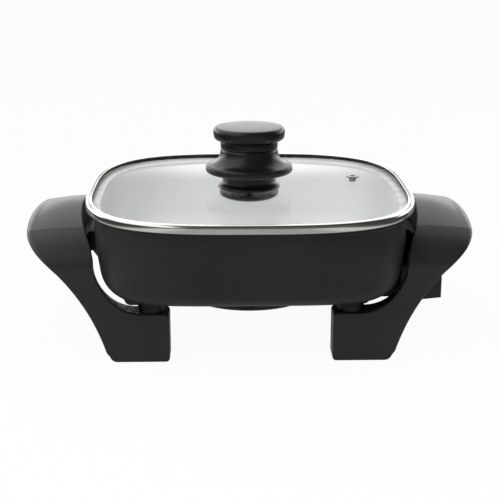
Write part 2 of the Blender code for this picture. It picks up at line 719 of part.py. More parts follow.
def handle_stations():
    """(distance from the middle, edge rounding) pairs from the middle to one face."""
    crown = [SHOULDER_START * i / 4 for i in range(5)]
    roll_start = LEG_FRONT_Y - SHOULDER_RADIUS
    slant = [lerp(SHOULDER_START, roll_start, i / 2) for i in range(1, 3)]
    stations = [(y, 0) for y in crown + slant]
    for degrees in (32, 58):
        stations.append((roll_start + SHOULDER_RADIUS * math.sin(math.radians(degrees)), 0))
    for degrees in (0, 45, 90):
        angle = math.radians(degrees)
        stations.append((LEG_FRONT_Y - LEG_EDGE_RADIUS * (1 - math.sin(angle)),
                         LEG_EDGE_RADIUS * (1 - math.cos(angle))))
    return sorted(set(stations))


def arch_cutter(side):
    """Space between the two legs of one handle, under its grip."""
    radius = ARCH_CORNER_RADIUS
    outline = round_corners([(-ARCH_HALF, -CUT_OVERRUN, 0), (ARCH_HALF, -CUT_OVERRUN, 0),
                             (ARCH_HALF, ARCH_TOP, radius), (-ARCH_HALF, ARCH_TOP, radius)], 6)
    outer = GRIP_OUTER_X + GRIP_BOW + CUT_OVERRUN
    inner = FOOT_INNER_X - CUT_OVERRUN
    space = plate("arch_space", [outline], inner, outer)
    stand = Matrix(((0, 0, side), (1, 0, 0), (0, 1, 0))).to_4x4()
    space.data.transform(stand)
    if side < 0:
        space.data.flip_normals()
    return space


def bracket_screw_places(side):
    seat = GRIP_INNER_X + GRIP_POCKET_WALL
    z = ARCH_TOP + BRACKET_SCREW_ABOVE_ARCH
    return [(side * (seat + SEAT_GAP), end * BRACKET_SCREW_SPACING / 2, z) for end in (-1, 1)]


def handle_holes(side):
    """Cored pockets in the grip, its bracket screw holes and the stepped foot screw holes."""
    pieces = []
    low_x = side * (GRIP_INNER_X + GRIP_POCKET_WALL)
    high_x = side * (GRIP_INNER_X + GRIP_POCKET_WALL + GRIP_POCKET_WIDTH)
    length = (2 * (ARCH_HALF - GRIP_POCKET_WALL) - 2 * GRIP_POCKET_RIB) / 3
    top = ARCH_TOP + GRIP_POCKET_DEPTH
    for row in (-1, 0, 1):
        middle = row * (length + GRIP_POCKET_RIB)
        half = length / 2
        pieces.append(block("grip_pocket", (min(low_x, high_x), middle - half, ARCH_TOP - CUT_OVERRUN),
                            (max(low_x, high_x), middle + half, top)))
    hole_length = GRIP_POCKET_WALL + 2 * CUT_OVERRUN
    for x, y, z in bracket_screw_places(side):
        start = side * GRIP_INNER_X - side * CUT_OVERRUN
        pieces.append(rod("bracket_screw_hole", BRACKET_SCREW_DIAMETER / 2 + SEAT_GAP, 0, hole_length, 12,
                          place=(start, y, z), turn=(0, side * math.pi / 2, 0)))
    seat = FOOT_HEIGHT - FOOT_SCREW_WEB
    head = LEG_SCREW_HEAD_DIAMETER / 2 + 2 * SEAT_GAP
    shank = LEG_SCREW_DIAMETER / 2 + SEAT_GAP
    for end in (-1, 1):
        pieces.append(turned("foot_screw_hole", [
            (0, FOOT_HEIGHT + CUT_OVERRUN), (shank, FOOT_HEIGHT + CUT_OVERRUN), (shank, seat),
            (head, seat), (head, -CUT_OVERRUN), (0, -CUT_OVERRUN)], 16,
            place=(side * SPACER_X, end * LEG_MIDDLE_Y, 0)))
    return pieces


def make_handle(name, side):
    stations = handle_stations()
    rings = []
    for y, rounding in [(-y, r) for y, r in reversed(stations[1:])] + stations:
        section = shrink(handle_section(abs(y)), rounding)
        rings.append([(side * x, y, z) for x, z in section])
    handle = loft(name, rings)
    boolean(handle, [arch_cutter(side)] + handle_holes(side))
    paint(handle, BLACK_PHENOLIC)


def make_bracket(name, side):
    """Cast lug between the pan wall and the grip, cut to the pan's form."""
    inner = PAN_HALF - PAN_BOTTOM_RADIUS
    outer = GRIP_INNER_X - SEAT_GAP
    half = BRACKET_WIDTH / 2
    outline = [(outer, BRACKET_BOTTOM), (inner, BRACKET_BOTTOM + BRACKET_SLOPE),
               (inner, BRACKET_TOP), (outer, BRACKET_TOP)]
    bracket = plate(name, [outline], -half, half)
    stand = Matrix(((side, 0, 0), (0, 0, 1), (0, 1, 0))).to_4x4()
    bracket.data.transform(stand)
    if side > 0:
        bracket.data.flip_normals()
    soften = bracket.modifiers.new("edges", "BEVEL")
    soften.width = BRACKET_EDGE_RADIUS
    soften.segments = 2
    boolean(bracket, [pan_space(name + "_pan_space")])
    depth = BRACKET_SCREW_BITE + SEAT_GAP
    holes = [rod("lug_screw_hole", BRACKET_SCREW_DIAMETER / 2 + SEAT_GAP, -CUT_OVERRUN, depth, 12,
                 place=(side * outer, y, z), turn=(0, -side * math.pi / 2, 0))
             for x, y, z in bracket_screw_places(side)]
    boolean(bracket, holes)
    paint(bracket, CHARCOAL_COATING)


def make_bracket_screws():
    length = GRIP_POCKET_WALL + 2 * SEAT_GAP + BRACKET_SCREW_BITE
    for name, side in (("handle_screw_left", -1), ("handle_screw_right", 1)):
        places = {name + "_" + end: place for end, place in zip(ENDS, bracket_screw_places(side))}
        screws(places, BRACKET_SCREW_HEAD_DIAMETER / 2, BRACKET_SCREW_HEAD_HEIGHT,
               BRACKET_SCREW_DIAMETER / 2, length, turn=(0, -side * math.pi / 2, 0))


def make_spacer(name, x, y):
    """Sleeve that keeps the foot away from the hot pan, round the cast boss."""
    top = PAN_BOTTOM + PAN_FLOOR
    low = FOOT_HEIGHT + SEAT_GAP
    radius = SPACER_DIAMETER / 2
    boss = BOSS_DIAMETER / 2 + SEAT_GAP
    draft = BOSS_LENGTH * math.tan(math.radians(PAN_DRAFT_DEGREES)) + SEAT_GAP
    step = PAN_BOTTOM - BOSS_LENGTH - SEAT_GAP
    bore = SPACER_BORE / 2
    edge = SEAT_GAP * 2
    spacer = turned(name, [
        (boss + draft, top), (radius, top), (radius, low + edge), (radius - edge, low), (bore, low),
        (bore, step), (boss + SEAT_GAP, step)], 16, closed=True, place=(x, y, 0))
    boolean(spacer, [pan_space(name + "_pan_space")])
    paint(spacer, PLATED_STEEL)


def make_leg_screws():
    seat = FOOT_HEIGHT - FOOT_SCREW_WEB - SEAT_GAP
    length = PAN_BOTTOM - BOSS_LENGTH + LEG_SCREW_BITE - seat
    places = {"leg_screw_" + corner: (x, y, seat) for corner, (x, y) in LEG_CORNERS.items()}
    screws(places, LEG_SCREW_HEAD_DIAMETER / 2, LEG_SCREW_HEAD_HEIGHT, LEG_SCREW_DIAMETER / 2, length)


# Heating element and the socket for the control

def terminal_places(x):
    return [(x, end * TERMINAL_SPACING / 2, SOCKET_Z) for end in (-1, 1)]


def make_element():
    paint(tube("heating_element", element_path(), ELEMENT_DIAMETER / 2), PLATED_STEEL)
    shank = TERMINAL_SHANK_DIAMETER / 2
    along_x = (0, math.pi / 2, 0)
    seal = [(shank + SEAT_GAP, SEAL_LENGTH), (SEAL_DIAMETER / 2, SEAL_LENGTH),
            (SEAL_DIAMETER / 2, 0), (shank + SEAT_GAP, 0)]
    radius = TERMINAL_DIAMETER / 2
    neck = TERMINAL_X - SEAL_X
    length = neck + TERMINAL_LENGTH
    pin = [(0, length), (radius / 2, length), (radius, length - radius / 2), (radius, neck),
           (shank, neck), (shank, 0), (0, 0)]
    for end, place in zip(ENDS, terminal_places(SEAL_X)):
        paint(turned("element_seal_" + end, seal, 16, closed=True, place=place, turn=along_x), CERAMIC)
        paint(turned("terminal_pin_" + end, pin, 16, place=place, turn=along_x), BRASS)


def socket_screw_places():
    x = SOCKET_GUARD_X + SOCKET_GUARD_LENGTH / 2
    y = SOCKET_GUARD_HALF_WIDTH + SOCKET_EAR_REACH / 2
    return [(x, -y, 0), (x, y, 0)]


def make_socket_guard():
    """Folded steel shroud round the terminals, open to the right for the control."""
    top = PAN_BOTTOM - SEAT_GAP
    low = top - SOCKET_GUARD_HEIGHT
    half = SOCKET_GUARD_HALF_WIDTH
    wall = SOCKET_GUARD_WALL
    radius = SOCKET_GUARD_RADIUS
    end = SOCKET_GUARD_X + SOCKET_GUARD_LENGTH
    ear_x = socket_screw_places()[0][0]
    along_x = Matrix(((0, 0, 1), (1, 0, 0), (0, 1, 0))).to_4x4()
    outline = round_corners([(-half, low, radius), (half, low, radius), (half, top, 0), (-half, top, 0)])
    guard = plate("socket_guard", [outline], SOCKET_GUARD_X, end)
    guard.data.transform(along_x)
    ears = block("socket_ears", (ear_x - SOCKET_EAR_LENGTH / 2, -half - SOCKET_EAR_REACH, top - wall),
                 (ear_x + SOCKET_EAR_LENGTH / 2, half + SOCKET_EAR_REACH, top))
    boolean(guard, [ears], "UNION")
    inner = radius - wall
    space = round_corners([(wall - half, low + wall, inner), (half - wall, low + wall, inner),
                           (half - wall, top - wall, 0), (wall - half, top - wall, 0)])
    inside = plate("socket_space", [space], SOCKET_GUARD_X + wall, end + CUT_OVERRUN)
    inside.data.transform(along_x)
    boolean(guard, [inside])
    start = SOCKET_GUARD_X - CUT_OVERRUN
    through = 2 * CUT_OVERRUN
    holes = [rod("tube_hole", ELEMENT_DIAMETER / 2 + SEAT_GAP, 0, through, 20, place=place,
                 turn=(0, math.pi / 2, 0)) for place in terminal_places(start)]
    holes.append(rod("probe_hole", PROBE_DIAMETER / 2 + 2 * SEAT_GAP, 0, through, 16,
                     place=(start, 0, SOCKET_Z), turn=(0, math.pi / 2, 0)))
    holes += [rod("ear_hole", SOCKET_SCREW_DIAMETER / 2 + SEAT_GAP, top - wall - CUT_OVERRUN,
                  top + CUT_OVERRUN, 12, place=place) for place in socket_screw_places()]
    boolean(guard, holes)
    paint(guard, PLATED_STEEL)
    seat = top - wall - SEAT_GAP
    places = {"socket_guard_screw_" + end: (x, y, seat)
              for end, (x, y, z) in zip(ENDS, socket_screw_places())}
    screws(places, SOCKET_SCREW_HEAD_DIAMETER / 2, SOCKET_SCREW_HEAD_HEIGHT,
           SOCKET_SCREW_DIAMETER / 2, PAN_BOTTOM + SOCKET_SCREW_BITE - seat)


# Lid, in the lid empty's own coordinates: height zero is the band's underside

def lid_rings(profile, squareness=LID_SQUARENESS, half=LID_HALF):
    return [[(x, y, z) for x, y in superellipse(half, squareness, inset, PAN_RING_POINTS)]
            for inset, z in profile]


def glass_bottom():
    return BAND_SHEET + SEAT_GAP


def glass_seat():
    """Top of the glass where the knob stands."""
    return glass_bottom() + GLASS_THICKNESS + GLASS_DOME


def make_band(lid):
    """Rolled steel channel round the glass: shelf below, wall outside, flange on top."""
    sheet = BAND_SHEET
    radius = BAND_EDGE_RADIUS
    outer = [(inset, z) for inset, z in round_corners([
        (0, 0, sheet), (0, BAND_HEIGHT, radius), (BAND_FLANGE, BAND_HEIGHT, 0),
        (BAND_FLANGE, BAND_HEIGHT - sheet, 0), (sheet, BAND_HEIGHT - sheet, radius - sheet),
        (sheet, sheet, 0), (BAND_SHELF, sheet, 0), (BAND_SHELF, 0, 0)], 2)]
    band = loft("lid_band", lid_rings(outer), closed=True, parent=lid)
    paint(band, BRIGHT_STEEL)


def make_gasket(lid):
    """Dark seal between the glass edge and the band."""
    low = BAND_SHEET + SEAT_GAP
    high = BAND_HEIGHT - BAND_SHEET - SEAT_GAP
    glass_top = glass_bottom() + GLASS_THICKNESS + SEAT_GAP
    glass_edge = GLASS_EDGE_SET_IN - SEAT_GAP
    chamfer = BAND_EDGE_RADIUS / 2
    profile = [(GASKET_SET_IN, low), (GASKET_SET_IN, high - chamfer), (GASKET_SET_IN + chamfer, high),
               (BAND_FLANGE - SEAT_GAP, high), (BAND_FLANGE - SEAT_GAP, glass_top),
               (glass_edge, glass_top), (glass_edge, low)]
    paint(loft("lid_gasket", lid_rings(profile), closed=True, parent=lid), BLACK_RUBBER)


def make_glass(lid):
    low = glass_bottom()
    high = low + GLASS_THICKNESS
    half = LID_HALF - GLASS_EDGE_SET_IN
    edge = superellipse(half, LID_SQUARENESS, 0, PAN_RING_POINTS)
    scale_shares = (0.2, 0.5, 0.8, 1.0)

    def ring(share, base):
        z = base + GLASS_DOME * (1 - share * share)
        return [(share * x, share * y, z) for x, y in edge]
    lows = [ring(share, low) for share in scale_shares]
    highs = [ring(share, high) for share in reversed(scale_shares)]
    glass = loft("lid_glass", lows + highs, parent=lid)
    through = GLASS_THICKNESS + CUT_OVERRUN
    holes = [rod("knob_hole", KNOB_SCREW_DIAMETER / 2 + 2 * SEAT_GAP, -through, low + through, 16,
                 parent=lid),
             rod("vent_hole", VENT_DIAMETER / 2 - VENT_FLANGE + SEAT_GAP, -through, low + through, 16,
                 place=(VENT_X, VENT_Y, 0), parent=lid)]
    boolean(glass, holes)
    paint(glass, CLEAR_GLASS)


def make_vent(lid):
    """Steel eyelet pressed into the glass, open for steam."""
    low = glass_bottom() - SEAT_GAP
    share = max(abs(VENT_X), abs(VENT_Y)) / LID_HALF
    high = glass_bottom() + GLASS_THICKNESS + GLASS_DOME * (1 - share * share) + SEAT_GAP
    low += GLASS_DOME * (1 - share * share) / 2
    neck = VENT_DIAMETER / 2 - VENT_FLANGE
    rim = VENT_DIAMETER / 2
    bore = VENT_BORE / 2
    outline = [(bore, high + VENT_RISE), (lerp(bore, rim, VENT_FLAT_SHARE), high + VENT_RISE),
               (rim, high + VENT_RISE / 2), (rim, high), (neck, high), (neck, low), (bore, low)]
    paint(turned("vent_eyelet", outline, 20, closed=True, place=(VENT_X, VENT_Y, 0), parent=lid),
          BRIGHT_STEEL)


def make_knob(lid):
    seat = glass_seat() + SEAT_GAP
    bore = KNOB_BORE / 2
    stem = KNOB_STEM_DIAMETER / 2
    guard = KNOB_GUARD_DIAMETER / 2
    neck = KNOB_NECK_DIAMETER / 2
    collar = KNOB_COLLAR_DIAMETER / 2
    guard_low = seat + KNOB_GUARD_RISE
    guard_high = guard_low + KNOB_GUARD_THICKNESS
    flare_top = guard_high + KNOB_FLARE_HEIGHT
    round_over = KNOB_GUARD_THICKNESS / 3
    flare = []
    for step in range(1, 6):
        angle = math.pi / 2 * step / 6
        flare.append((lerp(guard - round_over, neck, math.sin(angle)),
                      lerp(guard_high, flare_top, 1 - math.cos(angle))))
    outline = [(bore, flare_top), (neck - SEAT_GAP, flare_top)] + list(reversed(flare))
    outline += [(guard - round_over, guard_high)]
    outline += [(guard - round_over / 3, guard_high - round_over / 3), (guard, guard_high - round_over),
                (guard, guard_low + round_over), (guard - round_over / 3, guard_low + round_over / 3),
                (guard - round_over, guard_low), (stem + round_over, guard_low),
                (stem, guard_low - round_over), (stem, seat + KNOB_STEM_RISE / 2),
                (collar - round_over / 2, seat + round_over), (collar, seat), (bore, seat)]
    paint(turned("knob_guard", outline, 26, closed=True, parent=lid), KNOB_PHENOLIC)

    ring_low = flare_top + SEAT_GAP
    ring_high = ring_low + KNOB_RING_HEIGHT
    groove = SEAT_GAP
    outline = [(bore, ring_high), (neck - groove, ring_high), (neck, ring_high - groove),
               (neck, ring_low + groove), (neck - groove, ring_low), (bore, ring_low)]
    paint(turned("knob_ring", outline, 26, closed=True, parent=lid), KNOB_PHENOLIC)

    cap_low = ring_high + SEAT_GAP
    disc_low = cap_low + KNOB_NECK_HEIGHT
    disc_high = disc_low + KNOB_TOP_HEIGHT
    top = KNOB_TOP_DIAMETER / 2
    flat = KNOB_TOP_FLAT_DIAMETER / 2
    widest = lerp(disc_low, disc_high, KNOB_WIDEST_SHARE)
    rim = [(lerp(flat, top, math.sin(a)), lerp(widest, disc_high, math.cos(a)))
           for a in (math.radians(d) for d in (0, 30, 60, 90))]
    under = [(lerp(neck, top, math.cos(a)), lerp(widest, disc_low, math.sin(a)))
             for a in (math.radians(d) for d in (25, 50, 75))]
    hole_top = disc_high - KNOB_SCREW_END_DROP + SEAT_GAP
    outline = [(0, disc_high)] + rim + under + [(neck, disc_low), (neck, cap_low + groove),
                                                (neck - groove, cap_low), (bore, cap_low),
                                                (bore, hole_top), (0, hole_top)]
    paint(turned("knob_cap", outline, 26, parent=lid), KNOB_PHENOLIC)

    under_top = glass_bottom() + GLASS_DOME - SEAT_GAP
    under_low = under_top - UNDER_CAP_HEIGHT
    cap = UNDER_CAP_DIAMETER / 2
    head = KNOB_SCREW_HEAD_DIAMETER / 2 + SEAT_GAP
    recess = under_low + KNOB_SCREW_HEAD_HEIGHT + SEAT_GAP
    outline = [(bore, under_top), (cap, under_top)]
    outline += [(cap * width, under_top - UNDER_CAP_HEIGHT * drop) for width, drop in UNDER_CAP_SHARES]
    outline += [(head, under_low), (head, recess), (bore, recess)]
    paint(turned("knob_under_cap", outline, 24, closed=True, parent=lid), KNOB_PHENOLIC)

    length = disc_high - KNOB_SCREW_END_DROP - recess
    screws({"knob_screw": (0, 0, recess - SEAT_GAP)}, KNOB_SCREW_HEAD_DIAMETER / 2,
           KNOB_SCREW_HEAD_HEIGHT, KNOB_SCREW_DIAMETER / 2, length, parent=lid)


# Control, in its own empty's coordinates: the empty stands at the housing's inner end
# on the probe's line, so X counts outwards and Z from the probe

def housing_outline(inset=0, start=0):
    """Plan of the main housing: wide beside the pan, narrower at its outer end."""
    half = HOUSING_HALF_WIDTH - inset
    end_half = HOUSING_HALF_WIDTH - HOUSING_TAPER - inset
    length = HOUSING_LENGTH - inset
    return [(start + inset, -half), (length, -end_half), (length, end_half), (start + inset, half)]


def side_y(x):
    """Half width of the housing at a distance from its inner end."""
    return HOUSING_HALF_WIDTH - HOUSING_TAPER * x / HOUSING_LENGTH


def post_places():
    """Screw posts in the two inner corners of the housing."""
    set_in = HOUSING_WALL + HOUSING_POST_CLEARANCE + HOUSING_POST_DIAMETER / 2
    y = side_y(set_in) - set_in
    return [(set_in, -y, 0), (set_in, y, 0)]


def lens_place():
    """Pilot lens beside the dial, clear of the rear post."""
    y = DIAL_DIAMETER / 2 + PILOT_LENS_SET_OFF + PILOT_LENS_DIAMETER / 2
    return (DIAL_X - HOUSING_X, y, 0)


def make_housing_lower(control):
    low = HOUSING_BOTTOM - SOCKET_Z
    split = HOUSING_SPLIT - SOCKET_Z
    nose_top = NOSE_TOP - SOCKET_Z
    nose_half = HOUSING_HALF_WIDTH - NOSE_SET_IN
    nose_x = NOSE_X - HOUSING_X
    lower = plate("control_housing_lower", [housing_outline()], low, split, parent=control)
    nose = block("housing_nose", (nose_x, -nose_half, low + HOUSING_EDGE_RADIUS),
                 (HOUSING_WALL / 2, nose_half, nose_top), HOUSING_EDGE_RADIUS, parent=control)
    boolean(lower, [nose], "UNION")
    cavity = plate("lower_cavity", [housing_outline(HOUSING_WALL)], low + HOUSING_WALL,
                   split + CUT_OVERRUN, parent=control)
    boolean(lower, [cavity])
    posts = [rod("lower_post", HOUSING_POST_DIAMETER / 2, low + HOUSING_WALL / 2, split, 16,
                 place=place, parent=control) for place in post_places()]
    boolean(lower, posts, "UNION")
    shank = HOUSING_SCREW_DIAMETER / 2 + SEAT_GAP
    head = HOUSING_SCREW_HEAD_DIAMETER / 2 + SEAT_GAP
    seat = low + HOUSING_SCREW_HEAD_HEIGHT + 2 * SEAT_GAP
    holes = [turned("post_hole", [(0, split + CUT_OVERRUN), (shank, split + CUT_OVERRUN), (shank, seat),
                                  (head, seat), (head, low - CUT_OVERRUN), (0, low - CUT_OVERRUN)], 12,
                    place=place, parent=control) for place in post_places()]
    holes.append(rod("probe_passage", PROBE_DIAMETER / 2 + SEAT_GAP, nose_x - CUT_OVERRUN,
                     HOUSING_WALL + CUT_OVERRUN, 16, turn=(0, math.pi / 2, 0), parent=control))
    place, turn = cord_gland_place()
    holes.append(rod("gland_hole", CORD_GLAND_BORE / 2 + CORD_GLAND_FLANGE / 2 + SEAT_GAP,
                     -HOUSING_WALL - CUT_OVERRUN, CUT_OVERRUN, 16, place=place, turn=turn, parent=control))
    boolean(lower, holes)
    paint(lower, BLACK_PHENOLIC)


def make_housing_upper(control):
    low = HOUSING_SPLIT - SOCKET_Z + SEAT_GAP
    high = HOUSING_TOP - SOCKET_Z
    ceiling = high - DIAL_WELL_DEPTH - HOUSING_WALL
    upper = plate("control_housing_upper", [housing_outline()], low, high, parent=control)
    cavity = plate("upper_cavity", [housing_outline(HOUSING_WALL)], low - CUT_OVERRUN, ceiling,
                   parent=control)
    boolean(upper, [cavity])
    posts = [rod("upper_post", HOUSING_POST_DIAMETER / 2, low, ceiling + HOUSING_WALL / 2, 16,
                 place=place, parent=control) for place in post_places()]
    boolean(upper, posts, "UNION")
    dial_x = DIAL_X - HOUSING_X
    well = DIAL_DIAMETER / 2 + SEAT_GAP * 2
    shaft = DIAL_SHAFT_DIAMETER / 2 + SEAT_GAP
    well_floor = high - DIAL_WELL_DEPTH
    holes = [turned("dial_well", [(0, high + CUT_OVERRUN), (well, high + CUT_OVERRUN), (well, well_floor),
                                  (shaft, well_floor), (shaft, low - CUT_OVERRUN), (0, low - CUT_OVERRUN)],
                    32, place=(dial_x, 0, 0), parent=control),
             rod("lens_hole", PILOT_LENS_DIAMETER / 2 + SEAT_GAP, ceiling - CUT_OVERRUN,
                 high + CUT_OVERRUN, 16, place=lens_place(), parent=control)]
    depth = (ceiling - low) / 2
    holes += [rod("upper_screw_hole", HOUSING_SCREW_DIAMETER / 2 + SEAT_GAP, low - CUT_OVERRUN,
                  low + depth + SEAT_GAP, 12, place=place, parent=control) for place in post_places()]
    boolean(upper, holes)
    paint(upper, BLACK_PHENOLIC)

    lens = PILOT_LENS_DIAMETER / 2
    flange = lens + PILOT_LENS_FLANGE
    flange_high = ceiling - SEAT_GAP
    flange_low = flange_high - 2 * PILOT_LENS_FLANGE
    outline = [(0, high + PILOT_LENS_RISE), (lens / 2, high + PILOT_LENS_RISE), (lens, high),
               (lens, flange_high), (flange, flange_high), (flange, flange_low), (0, flange_low)]
    paint(turned("pilot_lens", outline, 16, place=lens_place(), parent=control), RED_LENS)

    seat = HOUSING_BOTTOM - SOCKET_Z + HOUSING_SCREW_HEAD_HEIGHT + SEAT_GAP
    places = {"housing_screw_" + end: (x, y, seat) for end, (x, y, z) in zip(ENDS, post_places())}
    screws(places, HOUSING_SCREW_HEAD_DIAMETER / 2, HOUSING_SCREW_HEAD_HEIGHT,
           HOUSING_SCREW_DIAMETER / 2, low + depth - seat, parent=control)


def make_contact_block(control):
    """Insulating block with two sleeves that slip over the terminal pins."""
    start = CONTACT_BLOCK_X - HOUSING_X
    end = NOSE_X - HOUSING_X - SEAT_GAP
    half = SOCKET_GUARD_HALF_WIDTH - SOCKET_GUARD_WALL - CONTACT_BLOCK_SIDE_GAP
    height = CONTACT_BLOCK_HEIGHT / 2
    block_obj = block("contact_block", (start, -half, -height), (end, half, height),
                      HOUSING_EDGE_RADIUS / 2, parent=control)
    inner = TERMINAL_DIAMETER / 2 + SEAT_GAP
    outer = inner + CONTACT_SLEEVE_WALL
    along_x = (0, math.pi / 2, 0)
    holes = [rod("sleeve_bore", outer + SEAT_GAP, -CUT_OVERRUN, CONTACT_BLOCK_LENGTH + CUT_OVERRUN, 20,
                 place=(start, y, 0), turn=along_x, parent=control)
             for y in (-TERMINAL_SPACING / 2, TERMINAL_SPACING / 2)]
    holes.append(rod("block_probe_bore", PROBE_DIAMETER / 2 + SEAT_GAP, -CUT_OVERRUN,
                     CONTACT_BLOCK_LENGTH + CUT_OVERRUN, 16, place=(start, 0, 0), turn=along_x,
                     parent=control))
    boolean(block_obj, holes)
    paint(block_obj, BLACK_PHENOLIC)
    length = end - start
    for name, y in zip(ENDS, (-TERMINAL_SPACING / 2, TERMINAL_SPACING / 2)):
        sleeve = turned("contact_sleeve_" + name, [(inner, length), (outer, length), (outer, 0), (inner, 0)],
                        20, closed=True, place=(start, y, 0), turn=along_x, parent=control)
        paint(sleeve, BRASS)


def make_probe(control):
    radius = PROBE_DIAMETER / 2
    tip = PROBE_TIP_X - HOUSING_X
    nose = tip + radius
    flange = HOUSING_WALL + SEAT_GAP
    end = flange + HOUSING_WALL
    dome = [(radius * math.sin(a), nose - radius * math.cos(a))
            for a in (math.radians(d) for d in (30, 60))]
    outline = [(0, end), (radius + HOUSING_WALL / 2, end), (radius + HOUSING_WALL / 2, flange),
               (radius, flange), (radius, nose)] + list(reversed(dome)) + [(0, tip)]
    paint(turned("probe_rod", outline, 16, turn=(0, math.pi / 2, 0), parent=control), PLATED_STEEL)


def cord_gland_place():
    """Place in the rear side of the lower housing, past its post, and the turn that faces it."""
    slant = math.atan2(HOUSING_TAPER, HOUSING_LENGTH)
    post = post_places()[0][0] + HOUSING_POST_DIAMETER / 2
    x = post + HOUSING_POST_CLEARANCE + CORD_GLAND_DIAMETER / 2
    return (x, side_y(x), 0), (-math.pi / 2, 0, -slant)


def make_cord_gland(control):
    """Bush that the supply lead would pass through, in the rear side of the housing."""
    place, turn = cord_gland_place()
    body = CORD_GLAND_BORE / 2 + CORD_GLAND_FLANGE / 2
    rim = CORD_GLAND_DIAMETER / 2
    bore = CORD_GLAND_BORE / 2
    high = SEAT_GAP + CORD_GLAND_FLANGE
    low = -HOUSING_WALL - CORD_GLAND_FLANGE
    outline = [(bore, high), (rim - CORD_GLAND_FLANGE / 2, high), (rim, high - CORD_GLAND_FLANGE / 2),
               (rim, SEAT_GAP), (body, SEAT_GAP), (body, low), (bore, low)]
    gland = turned("cord_gland", outline, 16, closed=True, place=place, turn=turn, parent=control)
    paint(gland, BLACK_RUBBER)


def make_dial(control):
    dial = bpy.data.objects.new("dial_axis", None)
    PARTS.objects.link(dial)
    dial.parent = control
    dial.location = (DIAL_X - HOUSING_X, 0, HOUSING_TOP - SOCKET_Z)
    low = SEAT_GAP - DIAL_WELL_DEPTH
    high = low + DIAL_HEIGHT
    radius = DIAL_DIAMETER / 2
    shaft = DIAL_SHAFT_DIAMETER / 2
    edge = DIAL_HEIGHT / 6
    hole_top = low + DIAL_SHAFT_SOCKET
    outline = [(0, high), (radius - 2 * edge, high), (radius - edge, high - edge), (radius, low),
               (shaft + SEAT_GAP, low), (shaft + SEAT_GAP, hole_top), (0, hole_top)]
    knob = turned("dial", outline, 24, parent=dial)
    flutes = []
    for i in range(DIAL_FLUTES):
        angle = 2 * math.pi * i / DIAL_FLUTES
        reach = radius + DIAL_FLUTE_DIAMETER / 4
        flutes.append(rod("flute", DIAL_FLUTE_DIAMETER / 2, low + edge, high + edge, 6,
                          place=(reach * math.cos(angle), reach * math.sin(angle), 0), parent=dial))
    boolean(knob, flutes)
    paint(knob, BLACK_PHENOLIC)
    ceiling = -DIAL_WELL_DEPTH - HOUSING_WALL
    collar_high = ceiling - SEAT_GAP
    collar_low = collar_high - DIAL_COLLAR_HEIGHT
    collar = DIAL_COLLAR_DIAMETER / 2
    outline = [(0, hole_top - SEAT_GAP), (shaft, hole_top - SEAT_GAP), (shaft, collar_high),
               (collar, collar_high), (collar, collar_low), (shaft, collar_low),
               (shaft, collar_low - DIAL_COLLAR_HEIGHT), (0, collar_low - DIAL_COLLAR_HEIGHT)]
    paint(turned("dial_shaft", outline, 20, parent=dial), PLATED_STEEL)


def main():
    make_pan()
    make_handle("handle_left", -1)
    make_handle("handle_right", 1)
    make_bracket("handle_bracket_left", -1)
    make_bracket("handle_bracket_right", 1)
    make_bracket_screws()
    for corner, (x, y) in LEG_CORNERS.items():
        make_spacer("leg_spacer_" + corner, x, y)
    make_leg_screws()
    make_element()
    make_socket_guard()

    lid = bpy.data.objects.new("lid_axis", None)
    PARTS.objects.link(lid)
    lid.location = (0, 0, LID_Z)
    make_band(lid)
    make_gasket(lid)
    make_glass(lid)
    make_vent(lid)
    make_knob(lid)

    control = bpy.data.objects.new("control_axis", None)
    PARTS.objects.link(control)
    control.location = (HOUSING_X, 0, SOCKET_Z)
    make_housing_lower(control)
    make_housing_upper(control)
    make_contact_block(control)
    make_probe(control)
    make_cord_gland(control)
    make_dial(control)


main()
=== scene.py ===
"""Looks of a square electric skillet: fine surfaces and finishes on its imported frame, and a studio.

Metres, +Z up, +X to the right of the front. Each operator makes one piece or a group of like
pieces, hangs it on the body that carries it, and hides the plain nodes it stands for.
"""
import json
import math

import bmesh
import bpy
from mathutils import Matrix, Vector
from mathutils.geometry import interpolate_bezier


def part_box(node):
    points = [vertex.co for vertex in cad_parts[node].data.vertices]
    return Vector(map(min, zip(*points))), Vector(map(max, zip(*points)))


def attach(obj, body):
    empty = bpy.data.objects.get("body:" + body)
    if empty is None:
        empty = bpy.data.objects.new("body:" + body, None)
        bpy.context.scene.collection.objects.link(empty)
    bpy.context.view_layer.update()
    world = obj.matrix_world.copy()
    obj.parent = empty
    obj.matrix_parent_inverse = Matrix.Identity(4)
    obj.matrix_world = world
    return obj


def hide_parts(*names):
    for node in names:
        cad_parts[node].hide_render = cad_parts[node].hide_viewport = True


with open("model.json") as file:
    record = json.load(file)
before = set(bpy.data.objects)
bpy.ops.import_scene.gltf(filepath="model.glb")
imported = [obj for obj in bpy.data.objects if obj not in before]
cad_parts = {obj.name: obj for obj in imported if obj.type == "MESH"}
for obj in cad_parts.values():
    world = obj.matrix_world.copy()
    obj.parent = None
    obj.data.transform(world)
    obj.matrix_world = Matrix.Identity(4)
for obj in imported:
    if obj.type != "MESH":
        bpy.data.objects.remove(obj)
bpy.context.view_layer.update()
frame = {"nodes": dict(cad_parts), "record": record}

bl_info = {
    "name": "Electric Skillet",
    "version": (1, 0, 0),
    "blender": (4, 5, 0),
    "location": "View3D > Sidebar > Skillet",
    "description": "Models the pan, handles, lid, knob and control of an electric skillet in a studio",
    "category": "Object",
}

